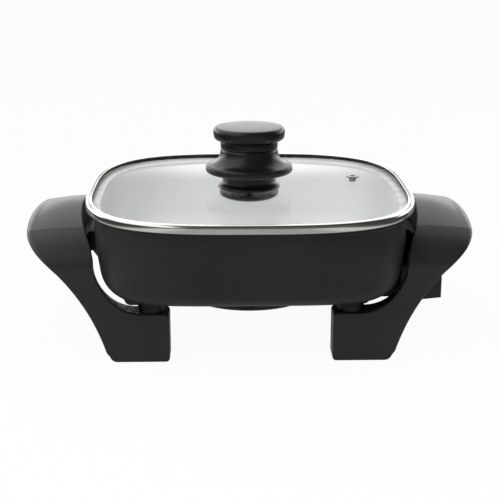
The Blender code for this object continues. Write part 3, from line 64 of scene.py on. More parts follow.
# Places read from the frame
PAN_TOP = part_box("pan")[1].z
BAND_LOW, BAND_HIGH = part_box("lid_band")
GLASS_LOW, GLASS_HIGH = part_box("lid_glass")
KNOB_LOW, KNOB_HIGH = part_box("knob_cap")
GUARD_LOW, GUARD_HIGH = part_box("knob_guard")
RING_LOW, RING_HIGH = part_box("knob_ring")
CAP_LOW, CAP_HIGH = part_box("knob_under_cap")
VENT_LOW, VENT_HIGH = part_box("vent_eyelet")
GASKET_LOW, GASKET_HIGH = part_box("lid_gasket")
DIAL_LOW, DIAL_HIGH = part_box("dial")
SPACER_LOW, SPACER_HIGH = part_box("leg_spacer_front_left")
LENS_LOW, LENS_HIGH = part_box("pilot_lens")

# Working values
WELD = 0.000001
OVERRUN = 0.003
SEAT_GAP = 0.0003
FINE_BEVEL = 0.0003
QUARTER = math.pi / 2
CORNERS = ("front_left", "front_right", "rear_left", "rear_right")

# Rounded squares: the share of a half width inside which rings only shrink and keep their form
PAN_EVEN_SHARE = 0.72
LID_EVEN_SHARE = 0.8

# Pan: rings across its floor, as shares of its reach, and how much of the seat gap pieces
# that are shaped to it keep
FLOOR_RINGS = (0.3, 0.6, 0.85)
FIT_SHARE = 0.7

# Pan lining: its border in the wall, and the slopes and the reach that tell lined faces
LINING_BORDER_SHARE = 0.6
LINING_RISE = 0.3
LINING_WALL_SHARE = 0.4
LIP_RISE = 0.5

# Under the pan
UNDERSIDE_BEVEL = 0.0004

# Outer curve of a leg seen from the front, as shares of its height and width, and its slopes
LEG_SWELL_HEIGHT_SHARE = 0.68
LEG_SWELL_WIDTH_SHARE = 0.73
LEG_TOP_HEIGHT_SHARE = 0.875
LEG_FOOT_SLOPE = 0.28
LEG_SWELL_SLOPE = 0.97

# Fillet from a foot up to the throat, beside the arch and at the leg's face
LEG_FILLET_WIDTHS = (0.0273, 0.0308)
LEG_FILLET_HEIGHTS = (0.0291, 0.0371)

# Steps from a handle's middle to its face, up its sides, across its top and along its shoulder
STATION_STEPS = (10, 36, 26)
SIDE_LEVELS = (14, 34, 5)
TOP_STEPS = 11
SHOULDER_POINTS = 161

# Pockets and lugs of the handles
POCKET_BEVEL = 0.0012
LUG_RISE = 0.0068
LUG_PAD = 0.0018
LUG_FLARE = 0.0085
LUG_SLOPE = 0.0019
LUG_EDGE = 0.0006

# Lid: hole for the knob's screw, rings across the glass, and the steam vent
KNOB_HOLE = 0.0026
GLASS_RINGS = (0.97, 0.9, 0.8, 0.65, 0.5, 0.35, 0.2)
VENT_RISE = 0.0006
VENT_RIM = 0.0012
VENT_NECK = 0.0024
VENT_CUT = 0.02

# Glass: what it would mirror when seen straight on, and how much of what it mirrors it shows
GLASS_STRAIGHT_MIRROR = 0.04
GLASS_MIRROR = 0.38

# Knob: its foot and flare, its disc, and the cap under the glass
GUARD_FOOT_SHARE = 0.29
FLARE_STEPS = 20
DISC_WIDEST_SHARE = 0.62
DISC_FULLNESS = 0.6
DISC_BORE_END = 0.0057
CAP_RISE = 0.0015
CAP_FLAT_SHARE = 0.32
CAP_SIDE = 0.0008
CAP_RECESS = 0.0029

# Pilot lens: its flange and crown, and its dome as shares of its radius and crown
LENS_FLANGE = 0.0007
LENS_FLANGE_HEIGHT = 0.0014
LENS_CROWN = 0.0008
LENS_DOME = ((0, 0), (0.4, 0.1), (0.75, 0.4), (0.95, 0.8), (1, 1.1))

# Dial: its edges, flutes, hollow top and shaft hole, and where its numbers stand
DIAL_EDGE = 0.0010
DIAL_CHAMFER = 0.0004
DIAL_SKIRT = 0.0012
DIAL_HOLLOW = ((0.86, 0), (0.80, 2), (0.40, 3))
DIAL_HOLLOW_STEP = 0.0001
FLUTE_SHARPNESS = 14
STEPS_PER_FLUTE = 24
SHAFT_HOLE = 0.0033
NUMBER_REACH_SHARE = 0.70
DIAL_WORDS = ("OFF", "200", "250", "300", "350", "400")

# Heating element: how far its ring ends stand from the middle line, and its steps
ELEMENT_OPENING = 0.0179
ELEMENT_STEPS = 72
LEAD_STEPS = 16

# Sleeves over the feet
SLEEVE_EDGE = 0.0006
SLEEVE_BORE = 0.0023
SLEEVE_SOCKET = (0.0064, 0.0061)
SLEEVE_SOCKET_DEPTH = 0.0063

# Screws: a leg screw's head in its hole, then shares of a head's radius or height
SCREW_HEAD_HEIGHT = 0.0031
SHANK_SHARE = 0.5
SCREW_TIP_SHARE = 0.5
SCREW_WIDE_SHARE = 0.95
SCREW_BRIM_SHARE = 0.25
SCREW_ROUNDING_SHARE = 0.55
SLOT_WIDTH_SHARE = 0.24
SLOT_REACH_SHARE = 0.62
SLOT_DEPTH_SHARE = 0.55

# Turns that lay a screw along X, Y or Z, with its head at the low end and at the high end
SCREW_TURNS = (((0, QUARTER, 0), (-QUARTER, 0, 0), (0, 0, 0)),
               ((0, -QUARTER, 0), (QUARTER, 0, 0), (math.pi, 0, 0)))

# Studio light: name, place, width, watts, and whether gloss mirrors it
LAMPS = (("key_box", (-0.25, -0.55, 1.15), 0.9, 8.5, False),
         ("left_box", (-1.0, -0.5, 0.55), 0.7, 4.0, False),
         ("right_box", (1.1, -0.2, 0.65), 0.5, 1.5, False))
LAMP_AIM = (0, 0, 0.06)

# The floor: its width, its glow to the camera, and the levels of the painted reflection glow that gloss
# sees on it, by distance sideways
FLOOR_WIDTH = 30
FLOOR_GLOW = 0.95
FLOOR_GLOSS_GLOW_MIDDLE = 0.36
FLOOR_GLOSS_GLOW_SIDE = 0.62
FLOOR_GLOSS_GLOW_STEP = (0.14, 0.26)
FLOOR_GLOSS_GLOW_EDGE = (0.34, 0.42)

# The surroundings in gloss: levels, then the directions between which they fade in or out
CEILING_LEVEL = 0.05
STRIP_LEVEL = 3.3
GAP_LEVEL = 0.4
BOX_LEVEL = 1.4
LEFT_LEVEL = 1.2
TOP_LEVEL = 1.3
FRONT_LEVEL = 0.07
STRIP_FADE = (0.185, 0.225)
BOX_FADE = (0.28, 0.42)
BACK_FADE = (0.15, 0.55)
LEFT_FADES = ((0.25, 0.42), (0.15, 0.35))
TOP_FADES = ((-0.25, 0.30), (0.50, 0.80), (-0.30, 0.0))
FRONT_FADE = (0.55, 0.75)

# Even light on the object
SOFT_LEVEL = 0.43
SOFT_COLOUR = (0.97, 0.985, 1.0, 1)


def length(name, default, description):
    """A size that a user may change, in metres."""
    return bpy.props.FloatProperty(name=name, description=description, default=default,
                                   unit="LENGTH", precision=4)


def angle(name, degrees, description):
    return bpy.props.FloatProperty(name=name, description=description,
                                   default=math.radians(degrees), subtype="ANGLE")


def colour(name, default, description):
    return bpy.props.FloatVectorProperty(name=name, description=description, default=default,
                                         subtype="COLOR", size=3, min=0, max=1)


def ratio(name, default, description):
    return bpy.props.FloatProperty(name=name, description=description, default=default)


def count(name, default, description):
    return bpy.props.IntProperty(name=name, description=description, default=default, min=3)


class SkilletPanSizes(bpy.types.PropertyGroup):
    """Pan casting."""
    half: length("Half width", 0.102, "Half of the pan's outer width below its lip")
    squareness: ratio("Squareness", 3.6, "Power of the rounded square at the rim")
    low_squareness: ratio("Low squareness", 4.3, "Power of the rounded square at the bottom")
    wall: length("Wall", 0.0032, "Thickness of the side")
    floor: length("Floor", 0.0038, "Thickness of the floor")
    corner: length("Bottom radius", 0.018, "Outer radius between side and floor")
    draft: angle("Draft", 5.0, "Slant of the side")
    bow: length("Bow", 0.0012, "Outward swell of the side")
    lip_reach: length("Lip reach", 0.0009, "How far the rolled lip stands out")
    lip_height: length("Lip height", 0.0028, "Height of the rolled lip")
    bottom: length("Bottom height", 0.0447, "Height of the pan's flat underside")
    steps: count("Steps round", 288, "Facets round the pan and lid")


class SkilletHandleSizes(bpy.types.PropertyGroup):
    """Grips and legs, moulded in one piece on each side."""
    foot_height: length("Foot height", 0.0329, "Height of the foot block")
    foot_toe: length("Toe", 0.0118, "Foot length inwards from the spacer")
    foot_heel: length("Heel", 0.0272, "Foot length outwards from the spacer")
    toe_radius: length("Toe radius", 0.0025, "Rounding at the foot's inner end")
    heel_radius: length("Heel radius", 0.0050, "Rounding at the foot's outer end")
    arch_half: length("Arch half width", 0.0470, "Half of the clear width between two legs")
    leg_depth: length("Leg depth", 0.018, "Leg thickness from front to back")
    edge_radius: length("Edge radius", 0.0012, "Rounding along the edges of face and arch")
    grip_radius: length("Grip radius", 0.0013, "Rounding of the grip's inner top edge")
    face_roll: bpy.props.FloatProperty(name="Face roll", default=0.12, subtype="FACTOR",
                                       description="Share of the roll that is left at the leg's face")
    below_rim: length("Below rim", 0.0045, "Drop from the pan's rim to the crown of the grip")
    thickness: length("Grip thickness", 0.0250, "Grip height over the arch")
    width: length("Grip width", 0.0275, "Grip width at its middle, without its outward swell")
    gap: length("Gap", 0.0100, "Clear space between the pan and the middle of the grip")
    tuck: length("Tuck", 0.0114, "How far the grip's inner side comes in from its middle to its ends")
    bow: length("Bow", 0.0090, "Outward swell of the grip at its middle")
    crown: length("Crown", 0.0074, "Rise of the grip's top at its middle")
    fall: length("Fall", 0.0045, "Drop of the grip's top towards its outer edge")
    roll: length("Roll", 0.0085, "Rounding of the grip's outer top edge")
    shoulder: length("Shoulder", 0.0220, "Length of the slanted shoulder")
    shoulder_slope: angle("Shoulder slope", 26.0, "Slant of the shoulder")
    shoulder_drop: length("Shoulder drop", 0.0216,
                          "Height from the shoulder's start to the top of the face")
    shoulder_ease: length("Shoulder ease", 0.0100, "How slowly the shoulder turns into the face")
    arch_radius: length("Arch radius", 0.0140, "Rounding of the arch's upper corners")
    throat: length("Throat", 0.0098, "How far the leg comes in beside the pan")
    throat_draft: length("Throat draft", 0.0017, "Slant of the leg's inner side towards its front")
    pocket_wall: length("Pocket wall", 0.0040, "Wall left round the cored pockets")
    pocket_width: length("Pocket width", 0.0140, "Width of the cored pockets under the grip")
    pocket_depth: length("Pocket depth", 0.0115, "Depth of the cored pockets under the grip")
    pocket_rib: length("Pocket rib", 0.0040, "Rib between two pockets")


class SkilletLidSizes(bpy.types.PropertyGroup):
    """Glass lid and its steel band."""
    squareness: ratio("Squareness", 3.1, "Power of the rounded square seen from above")
    sheet: length("Sheet", 0.0007, "Thickness of the band's steel")
    flange: length("Flange", 0.0042, "Width of the band's top flange")
    shelf: length("Shelf", 0.0095, "Width of the shelf under the glass")
    edge_radius: length("Edge radius", 0.0022, "Roll between the band's side and flange")
    flange_slope: angle("Flange slope", 12.0, "Slant of the flange down to the glass")
    glass: length("Glass", 0.0027, "Thickness of the glass")
    dome: length("Dome", 0.0004, "Rise of the glass at its middle")
    edge_set_in: length("Glass set in", 0.0020, "From the band's outer side to the glass edge")


class SkilletKnobSizes(bpy.types.PropertyGroup):
    """Knob, from the glass upwards."""
    collar: length("Collar", 0.0420, "Diameter where the knob stands on the glass")
    stem: length("Stem", 0.0360, "Diameter of the stem under the finger guard")
    guard: length("Guard", 0.0586, "Diameter of the finger guard")
    neck: length("Neck", 0.0384, "Diameter of the neck")
    top: length("Top", 0.0480, "Diameter of the disc on top")
    flat: length("Flat", 0.0440, "Diameter of the disc's flat face")
    guard_rise: length("Guard rise", 0.0103, "Height of the guard's underside over the glass")
    guard_thickness: length("Guard thickness", 0.0053, "Thickness of the guard's edge")
    neck_height: length("Neck height", 0.0002, "Neck between ring and disc")
    bore: length("Bore", 0.0050, "Bore for the knob's screw")
    steps: count("Steps round", 128, "Facets round the knob")


class SkilletControlSizes(bpy.types.PropertyGroup):
    """Plug-in heat control and heating element."""
    edge_radius: length("Edge radius", 0.0007, "Rounding of the housing's edges")
    flutes: count("Flutes", 12, "Grip flutes round the dial")
    flute_depth: length("Flute depth", 0.0005, "Depth of a grip flute")
    number_height: length("Number height", 0.0019, "Height of the numbers on the dial")
    number_rise: length("Number rise", 0.00012, "How far the numbers stand out")
    turn: angle("Turn", 270.0, "Range of the dial")
    element: length("Element", 0.0440, "Radius of the heating element's ring")
    tube: length("Tube", 0.0080, "Diameter of the heating element's tube")


class SkilletFinishes(bpy.types.PropertyGroup):
    """Colours of the skillet's surfaces."""
    coating: colour("Coating", (0.0140, 0.0136, 0.0130), "Charcoal coating outside the pan")
    lining: colour("Lining", (0.86, 0.86, 0.845), "Pale ceramic lining inside the pan")
    handle: colour("Handle", (0.0150, 0.0152, 0.0148), "Black plastic of grips and legs")
    knob: colour("Knob", (0.0066, 0.0068, 0.0070), "Black plastic of the knob")
    control: colour("Control", (0.0100, 0.0100, 0.0100), "Black plastic of the control")
    steel: colour("Steel", (0.82, 0.81, 0.775), "Polished stainless steel of the band")
    # Shelf: paler and less metallic than the band's steel, painted light that keeps the strip under the
    # glass bright where the flange shades it
    shelf: colour("Shelf", (0.93, 0.93, 0.915), "Satin steel of the shelf under the glass")
    # Vent: steel darker than the plated parts, partly painted shade that stands for the shadow round
    # the eyelet
    vent: colour("Vent", (0.26, 0.26, 0.25), "Dark steel of the steam vent")
    plated: colour("Plated steel", (0.52, 0.53, 0.52), "Zinc plating of screws and guard")
    sheath: colour("Sheath", (0.060, 0.056, 0.054), "Oxidised sheath of the heating element")
    sleeve: colour("Sleeve", (0.045, 0.045, 0.045), "Dark coated sleeves over the feet")
    brass: colour("Brass", (0.62, 0.45, 0.20), "Contact pins and sleeves")
    porcelain: colour("Porcelain", (0.75, 0.73, 0.68), "End seals of the element")
    rubber: colour("Rubber", (0.010, 0.010, 0.010), "Seal round the glass and gland")
    glass: colour("Glass", (0.985, 0.992, 0.988), "Tint of the lid's glass")
    lens: colour("Lens", (0.45, 0.02, 0.012), "Pilot lens")
    print: colour("Print", (0.72, 0.72, 0.70), "Numbers on the dial")


class SkilletStudio(bpy.types.PropertyGroup):
    """Camera and light."""
    focal: bpy.props.FloatProperty(name="Focal length", default=81.6, unit="CAMERA",
                                   description="Lens on a sensor 36 mm wide")
    eye: bpy.props.FloatVectorProperty(name="Eye", default=(-0.0170, -0.7505, 0.2782),
                                       subtype="XYZ", unit="LENGTH",
                                       description="Place of the camera")
    look: bpy.props.FloatVectorProperty(name="Look", default=(0.0218, 0.9588, -0.2833),
                                        subtype="XYZ",
                                        description="Direction in which the camera looks")
    shift: ratio("Shift", 0.0016, "Sideways shift of the frame")


# Modelling helpers

def lerp(start, end, share):
    return start + (end - start) * share


def smooth_share(value, start, end):
    """How far value has gone from start to end, eased at both ends."""
    share = min(max((value - start) / (end - start), 0), 1)
    return share * share * (3 - 2 * share)


def hermite(share, start, end, start_slope, end_slope, span):
    """Cubic through two places with a slope at each."""
    square = share * share
    cube = square * share
    return ((2 * cube - 3 * square + 1) * start + (3 * square - 2 * cube) * end
            + span * ((cube - 2 * square + share) * start_slope + (cube - square) * end_slope))


def arc(centre, radius, start_degrees, end_degrees, steps):
    """Points round a flat arc, both ends included."""
    angles = [math.radians(lerp(start_degrees, end_degrees, i / steps)) for i in range(steps + 1)]
    return [(centre[0] + radius * math.cos(a), centre[1] + radius * math.sin(a)) for a in angles]


def take_only(piece):
    """Select one object and make it the active one."""
    bpy.ops.object.select_all(action="DESELECT")
    piece.select_set(True)
    bpy.context.view_layer.objects.active = piece


def added(add, name, **settings):
    """A new object, by one of Blender's own operators that add one."""
    bpy.ops.object.select_all(action="DESELECT")
    add(**settings)
    piece = bpy.context.object
    piece.name = name
    return piece


def edit_all():
    """Go into edit mode with everything selected."""
    bpy.ops.object.mode_set(mode="EDIT")
    bpy.ops.mesh.select_all(action="SELECT")


def finish_edit(smooth_degrees=None):
    """Leave edit mode with merged corners, no loose edges and outward faces."""
    bpy.ops.mesh.select_all(action="SELECT")
    bpy.ops.mesh.remove_doubles(threshold=WELD)
    bpy.ops.mesh.delete_loose()
    bpy.ops.mesh.select_all(action="SELECT")
    bpy.ops.mesh.normals_make_consistent(inside=False)
    bpy.ops.object.mode_set(mode="OBJECT")
    if smooth_degrees is not None:
        bpy.ops.object.shade_smooth_by_angle(angle=math.radians(smooth_degrees))


def circle_of(points, name):
    """A circle primitive whose corners are moved to the points."""
    piece = added(bpy.ops.mesh.primitive_circle_add, name, vertices=len(points), radius=1)
    for vertex, point in zip(piece.data.vertices, points):
        vertex.co = point
    return piece


def turned(name, outline, steps, smooth_degrees=38):
    """Spin a closed (radius, height) outline about the vertical axis."""
    circle_of([(radius, 0, height) for radius, height in outline], name)
    edit_all()
    bpy.ops.mesh.spin(steps=steps, angle=2 * math.pi, center=(0, 0, 0), axis=(0, 0, 1))
    finish_edit(smooth_degrees)
    return bpy.context.object


def swept(name, rings, smooth_degrees=38):
    """Extrude a circle of corners from ring to ring and close both ends."""
    piece = circle_of(rings[0], name)
    bpy.ops.object.mode_set(mode="EDIT")
    work = bmesh.from_edit_mesh(piece.data)
    place = work.verts.layers.int.new("ring_place")
    for i, corner in enumerate(work.verts):
        corner[place] = i
    bmesh.update_edit_mesh(piece.data)
    bpy.ops.mesh.select_all(action="SELECT")
    for ring in rings[1:]:
        bpy.ops.mesh.extrude_edges_move()
        work = bmesh.from_edit_mesh(piece.data)
        place = work.verts.layers.int["ring_place"]
        for corner in work.verts:
            if corner.select:
                corner.co = ring[corner[place]]
        bmesh.update_edit_mesh(piece.data)
    bpy.ops.mesh.select_all(action="DESELECT")
    bpy.ops.mesh.select_mode(type="EDGE")
    bpy.ops.mesh.select_non_manifold()
    bpy.ops.mesh.edge_face_add()
    bpy.ops.mesh.select_mode(type="VERT")
    finish_edit(smooth_degrees)
    piece.data.attributes.remove(piece.data.attributes["ring_place"])
    return piece


def apply_modifier(piece, kind, **settings):
    """Add one modifier with its settings and apply it."""
    take_only(piece)
    modifier = piece.modifiers.new(kind.lower(), kind)
    for key, value in settings.items():
        setattr(modifier, key, value)
    bpy.ops.object.modifier_apply(modifier=modifier.name)


def cut(piece, tool):
    """Cut a piece by a tool, and drop the tool."""
    apply_modifier(piece, "BOOLEAN", operation="DIFFERENCE", solver="EXACT", object=tool)
    bpy.data.objects.remove(tool, do_unlink=True)


def joined(pieces):
    """One object from several."""
    bpy.ops.object.select_all(action="DESELECT")
    for piece in pieces:
        piece.select_set(True)
    bpy.context.view_layer.objects.active = pieces[0]
    bpy.ops.object.join()
    return bpy.context.object


def smoothed(piece, smooth_degrees):
    """Smooth shading over edges that are flatter than an angle."""
    take_only(piece)
    bpy.ops.object.shade_smooth_by_angle(angle=math.radians(smooth_degrees))
    return piece


def crisp(piece, smooth_degrees):
    """Smooth shading that keeps broad faces flat beside narrow rounded edges."""
    apply_modifier(smoothed(piece, smooth_degrees), "WEIGHTED_NORMAL", keep_sharp=True)


def move(piece, place, turn=(0, 0, 0)):
    """Turn and move a piece, and keep its place in its mesh."""
    take_only(piece)
    piece.rotation_euler = turn
    piece.location = place
    bpy.ops.object.transform_apply(location=True, rotation=True, scale=True)
    return piece


def copied(piece, name):
    """A copy with its own mesh, left active."""
    take_only(piece)
    bpy.ops.object.duplicate()
    twin = bpy.context.object
    twin.name = name
    return twin


def mirrored(piece, name, signs):
    """A mirror-image copy across the planes whose sign is negative."""
    twin = copied(piece, name)
    twin.scale = signs
    bpy.ops.object.transform_apply(location=True, rotation=True, scale=True)
    edit_all()
    bpy.ops.mesh.normals_make_consistent(inside=False)
    bpy.ops.object.mode_set(mode="OBJECT")
    return twin


def brick(name, low, high, bevel=0.0):
    """Box between two corners, its edges bevelled where asked."""
    piece = added(bpy.ops.mesh.primitive_cube_add, name, size=1,
                  location=(Vector(low) + Vector(high)) / 2)
    piece.scale = Vector(high) - Vector(low)
    bpy.ops.object.transform_apply(location=True, rotation=True, scale=True)
    if bevel:
        edit_all()
        bpy.ops.mesh.bevel(offset=bevel, segments=2, affect="EDGES")
        finish_edit(smooth_degrees=40)
    return piece


def round_bar(name, radius, height, place, steps=32):
    """Upright cylinder with its middle at a place."""
    piece = added(bpy.ops.mesh.primitive_cylinder_add, name, vertices=steps, radius=radius,
                  depth=height, location=place)
    bpy.ops.object.transform_apply(location=True, rotation=True, scale=True)
    return piece


def refined(node, name, bevel, segments=2):
    """Copy of a plain node with its corners merged, flat faces joined and edges rounded."""
    sharp_degrees = 32
    piece = copied(frame["nodes"][node], name)
    piece.parent = None
    for key in list(piece.keys()):
        del piece[key]
    piece.data.materials.clear()
    bpy.ops.mesh.customdata_custom_splitnormals_clear()
    edit_all()
    bpy.ops.mesh.remove_doubles(threshold=WELD)
    bpy.ops.mesh.dissolve_limited(angle_limit=math.radians(0.5))
    bpy.ops.object.mode_set(mode="OBJECT")
    apply_modifier(piece, "BEVEL", width=bevel, segments=segments, limit_method="ANGLE",
                   angle_limit=math.radians(sharp_degrees))
    crisp(piece, sharp_degrees)
    return piece


def show(piece, material, body, slot, *nodes):
    """Give a piece its material and body, and hide the nodes it stands for. The slot is not used."""
    piece.data.materials.clear()
    piece.data.materials.append(material)
    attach(piece, body)
    if nodes:
        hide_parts(*nodes)
    return piece


# Rounded squares

def rounded_square(half, power, turn, inset):
    """Point of a rounded square at a turn about its middle, moved inwards by inset."""
    across, along = math.cos(turn), math.sin(turn)
    reach = half / (abs(across) ** power + abs(along) ** power) ** (1 / power)
    normal = Vector((math.copysign(abs(across) ** (power - 1), across),
                     math.copysign(abs(along) ** (power - 1), along))).normalized()
    return Vector((reach * across, reach * along)) - inset * normal


def square_off(piece, half, power_at, flat_from):
    """Turn round rings into rounded squares whose power follows the height.

    A ring's radius is the half width less its inset. Rings inside flat_from only shrink.
    """
    for vertex in piece.data.vertices:
        radius = math.hypot(vertex.co.x, vertex.co.y)
        if radius < WELD:
            continue
        turn = math.atan2(vertex.co.y, vertex.co.x)
        outer = max(radius, flat_from)
        flat = rounded_square(half, power_at(vertex.co.z), turn, half - outer) * (radius / outer)
        vertex.co.x, vertex.co.y = flat
    piece.data.update()


# Materials

class Field:
    """A shader socket that sums, products and masks can be written with."""

    def __init__(self, sheet, socket):
        self.sheet = sheet
        self.socket = socket

    def maths(self, operation, *values):
        return self.sheet.add("ShaderNodeMath", {"operation": operation}, dict(enumerate(values)))

    def __add__(self, other):
        return self.maths("ADD", self, other)

    def __radd__(self, other):
        return self.maths("ADD", other, self)

    def __sub__(self, other):
        return self.maths("SUBTRACT", self, other)

    def __rsub__(self, other):
        return self.maths("SUBTRACT", other, self)

    def __mul__(self, other):
        return self.maths("MULTIPLY", self, other)

    def __rmul__(self, other):
        return self.maths("MULTIPLY", other, self)

    def between(self, low, high):
        """Zero below low, one above high, eased between them."""
        return self.sheet.add("ShaderNodeMapRange", {"interpolation_type": "SMOOTHSTEP"},
                              {"Value": self, "From Min": low, "From Max": high})


class Sheet:
    """A node tree that takes nodes by type, settings and inputs."""

    def __init__(self, tree):
        self.nodes = tree.nodes
        self.links = tree.links

    def add(self, kind, settings, inputs, output=0):
        """A node with its settings, then the values or links of its sockets."""
        node = self.nodes.new(kind)
        for key, value in settings.items():
            setattr(node, key, value)
        for key, value in inputs.items():
            self.connect(node.inputs[key], value)
        return None if output is None else Field(self, node.outputs[output])

    def connect(self, socket, value):
        if isinstance(value, Field):
            self.links.new(value.socket, socket)
        else:
            socket.default_value = value


class Finish(Sheet):
    """One material's nodes, in the order in which a finish is built up."""

    def __init__(self, name, base, roughness, metallic=0.0, **fixed):
        self.material = bpy.data.materials.new(name)
        self.material.use_nodes = True
        super().__init__(self.material.node_tree)
        self.shader = self.nodes["Principled BSDF"]
        self.colour = (*base, 1)
        self.feed("Base Color", self.colour)
        self.feed("Roughness", roughness)
        self.feed("Metallic", metallic)
        for key, value in fixed.items():
            self.feed(key.replace("_", " "), value)
        self.place = self.add("ShaderNodeTexCoord", {}, {}, "Object")
        self.height = None

    def feed(self, socket, value):
        self.connect(self.shader.inputs[socket], value)

    def noise(self, scale, detail=2.0, roughness=0.5, stretch=None):
        """Cloudy noise, with so many lumps a metre."""
        place = self.place
        if stretch:
            place = self.add("ShaderNodeMapping", {}, {"Vector": place, "Scale": stretch}, "Vector")
        return self.add("ShaderNodeTexNoise", {}, {"Vector": place, "Scale": scale,
                                                   "Detail": detail, "Roughness": roughness})

    def cells(self, scale):
        """Distance to the nearest of many scattered points."""
        return self.add("ShaderNodeTexVoronoi", {}, {"Vector": self.place, "Scale": scale}, "Distance")

    def axis(self, name):
        """One coordinate of the surface point."""
        return self.add("ShaderNodeSeparateXYZ", {}, {0: self.place}, name)

    def tint(self, mask, colour_there):
        """Blend the colour so far towards another where the mask is one."""
        self.colour = self.add("ShaderNodeMix", {"data_type": "RGBA"},
                               {"Factor": mask, 6: self.colour, 7: (*colour_there, 1)}, 2)
        self.feed("Base Color", self.colour)

    def relief(self, height, depth):
        """Bump from a height field, its depth in metres."""
        inputs = {"Height": height, "Distance": depth, "Strength": 1.0}
        if self.height is not None:
            inputs["Normal"] = self.height
        self.height = self.add("ShaderNodeBump", {}, inputs)
        self.feed("Normal", self.height)

    def show_as(self, shader):
        """Show a shader of one's own in place of the plain one."""
        self.connect(self.nodes["Material Output"].inputs["Surface"], shader)


def scaled(values, share):
    """A colour made lighter or darker, at most white."""
    return tuple(min(value * share, 1) for value in values)


def coating_finish(finishes):
    """Satin charcoal coating on cast aluminium: orange peel, faint cloud and rubbed patches."""
    finish = Finish("charcoal_coating", finishes.coating, 0.40, Specular_IOR_Level=0.34)
    cloud = finish.noise(16, detail=4)
    peel = finish.noise(900, detail=2)
    fine = finish.noise(3200, detail=1)
    finish.tint(cloud.between(0.35, 0.75), scaled(finishes.coating, 1.35))
    finish.tint(fine.between(0.62, 0.78) * 0.5, scaled(finishes.coating, 2.0))
    finish.feed("Roughness", 0.36 + 0.10 * cloud + 0.05 * fine)
    finish.relief(peel + 0.5 * fine, 0.00003)
    return finish.material


def lining_finish(finishes):
    """Pale ceramic lining, smooth, with the faintest flow marks."""
    finish = Finish("ceramic_lining", finishes.lining, 0.40, Specular_IOR_Level=0.3)
    cloud = finish.noise(22, detail=3)
    finish.tint(cloud.between(0.4, 0.8) * 0.6, scaled(finishes.lining, 0.95))
    finish.feed("Roughness", 0.36 + 0.10 * cloud)
    finish.relief(finish.noise(420, detail=2), 0.00002)
    return finish.material


def moulded_finish(name, base, gloss, grain_scale, grain_depth):
    """Black moulded plastic: a spark-eroded grain, uneven sheen and faint handling marks."""
    finish = Finish(name, base, gloss, Specular_IOR_Level=0.5)
    cloud = finish.noise(11, detail=4, roughness=0.6)
    grain = finish.noise(grain_scale, detail=2, roughness=0.6)
    pits = finish.cells(grain_scale * 0.8)
    finish.tint(cloud.between(0.45, 0.8), scaled(base, 1.35))
    finish.tint(grain.between(0.58, 0.74) * 0.5, scaled(base, 1.9))
    marks = finish.noise(260, detail=3, roughness=0.7, stretch=(1.0, 0.22, 0.5)).between(0.63, 0.75)
    finish.feed("Roughness", (gloss - 0.05) + 0.10 * cloud + 0.06 * grain + 0.05 * marks)
    finish.relief(grain + 0.6 * pits, grain_depth)
    return finish.material


def steel_finish(finishes):
    """Rolled stainless steel, polished along its length, with fine drawn lines."""
    finish = Finish("polished_band_steel", finishes.steel, 0.14, 1.0)
    drawn = finish.noise(40, detail=3, roughness=0.6, stretch=(1.0, 1.0, 160.0))
    cloud = finish.noise(30, detail=3)
    finish.tint(cloud.between(0.4, 0.8) * 0.5, scaled(finishes.steel, 0.86))
    finish.feed("Roughness", 0.07 + 0.07 * drawn + 0.05 * cloud)
    finish.relief(drawn, 0.000004)
    return finish.material


def plated_finish(name, base, rough, metallic=1.0):
    """Plated, drawn or satin metal with a mottled bloom and fine scratches."""
    finish = Finish(name, base, rough, metallic)
    bloom = finish.noise(90, detail=4, roughness=0.6)
    scratch = finish.noise(220, detail=2, roughness=0.6, stretch=(9.0, 1.0, 1.0))
    finish.tint(bloom.between(0.35, 0.75), scaled(base, 0.72))
    finish.feed("Roughness", (rough - 0.08) + 0.20 * bloom + 0.05 * scratch)
    finish.relief(scratch, 0.00001)
    return finish.material


def sheath_finish(finishes):
    """Steel sheath dulled and blued by heat."""
    finish = Finish("oxidised_sheath", finishes.sheath, 0.48, 1.0)
    scale = finish.noise(140, detail=4, roughness=0.6)
    finish.tint(scale.between(0.3, 0.7), (0.036, 0.030, 0.027))
    finish.tint(finish.noise(28, detail=2).between(0.5, 0.8) * 0.6, (0.045, 0.048, 0.062))
    finish.feed("Roughness", 0.38 + 0.25 * scale)
    finish.relief(finish.noise(1500, detail=2), 0.00002)
    return finish.material


def porcelain_finish(finishes):
    """Unglazed steatite, slightly porous."""
    finish = Finish("porous_porcelain", finishes.porcelain, 0.62)
    pores = finish.noise(1800, detail=2)
    finish.tint(pores.between(0.6, 0.75), scaled(finishes.porcelain, 0.75))
    finish.relief(pores, 0.00003)
    return finish.material


def rubber_finish(finishes):
    """Matt silicone seal with a dusty bloom."""
    finish = Finish("seal_rubber", finishes.rubber, 0.62)
    bloom = finish.noise(300, detail=3)
    finish.tint(bloom.between(0.5, 0.8) * 0.7, scaled(finishes.rubber, 2.2))
    finish.feed("Roughness", 0.55 + 0.2 * bloom)
    finish.relief(finish.noise(2400, detail=1), 0.00002)
    return finish.material


def lens_finish(finishes):
    """Red lens under a clear gloss, with a fine moulded texture."""
    finish = Finish("pilot_lens_red", finishes.lens, 0.12, Coat_Weight=0.6)
    finish.tint(finish.noise(700, detail=2).between(0.4, 0.8), scaled(finishes.lens, 0.6))
    finish.relief(finish.noise(900, detail=1), 0.00001)
    return finish.material


def print_finish(finishes):
    """Pad-printed numbers, slightly worn."""
    finish = Finish("dial_print", finishes.print, 0.5)
    finish.tint(finish.noise(2600, detail=2).between(0.58, 0.72), scaled(finishes.print, 0.6))
    return finish.material


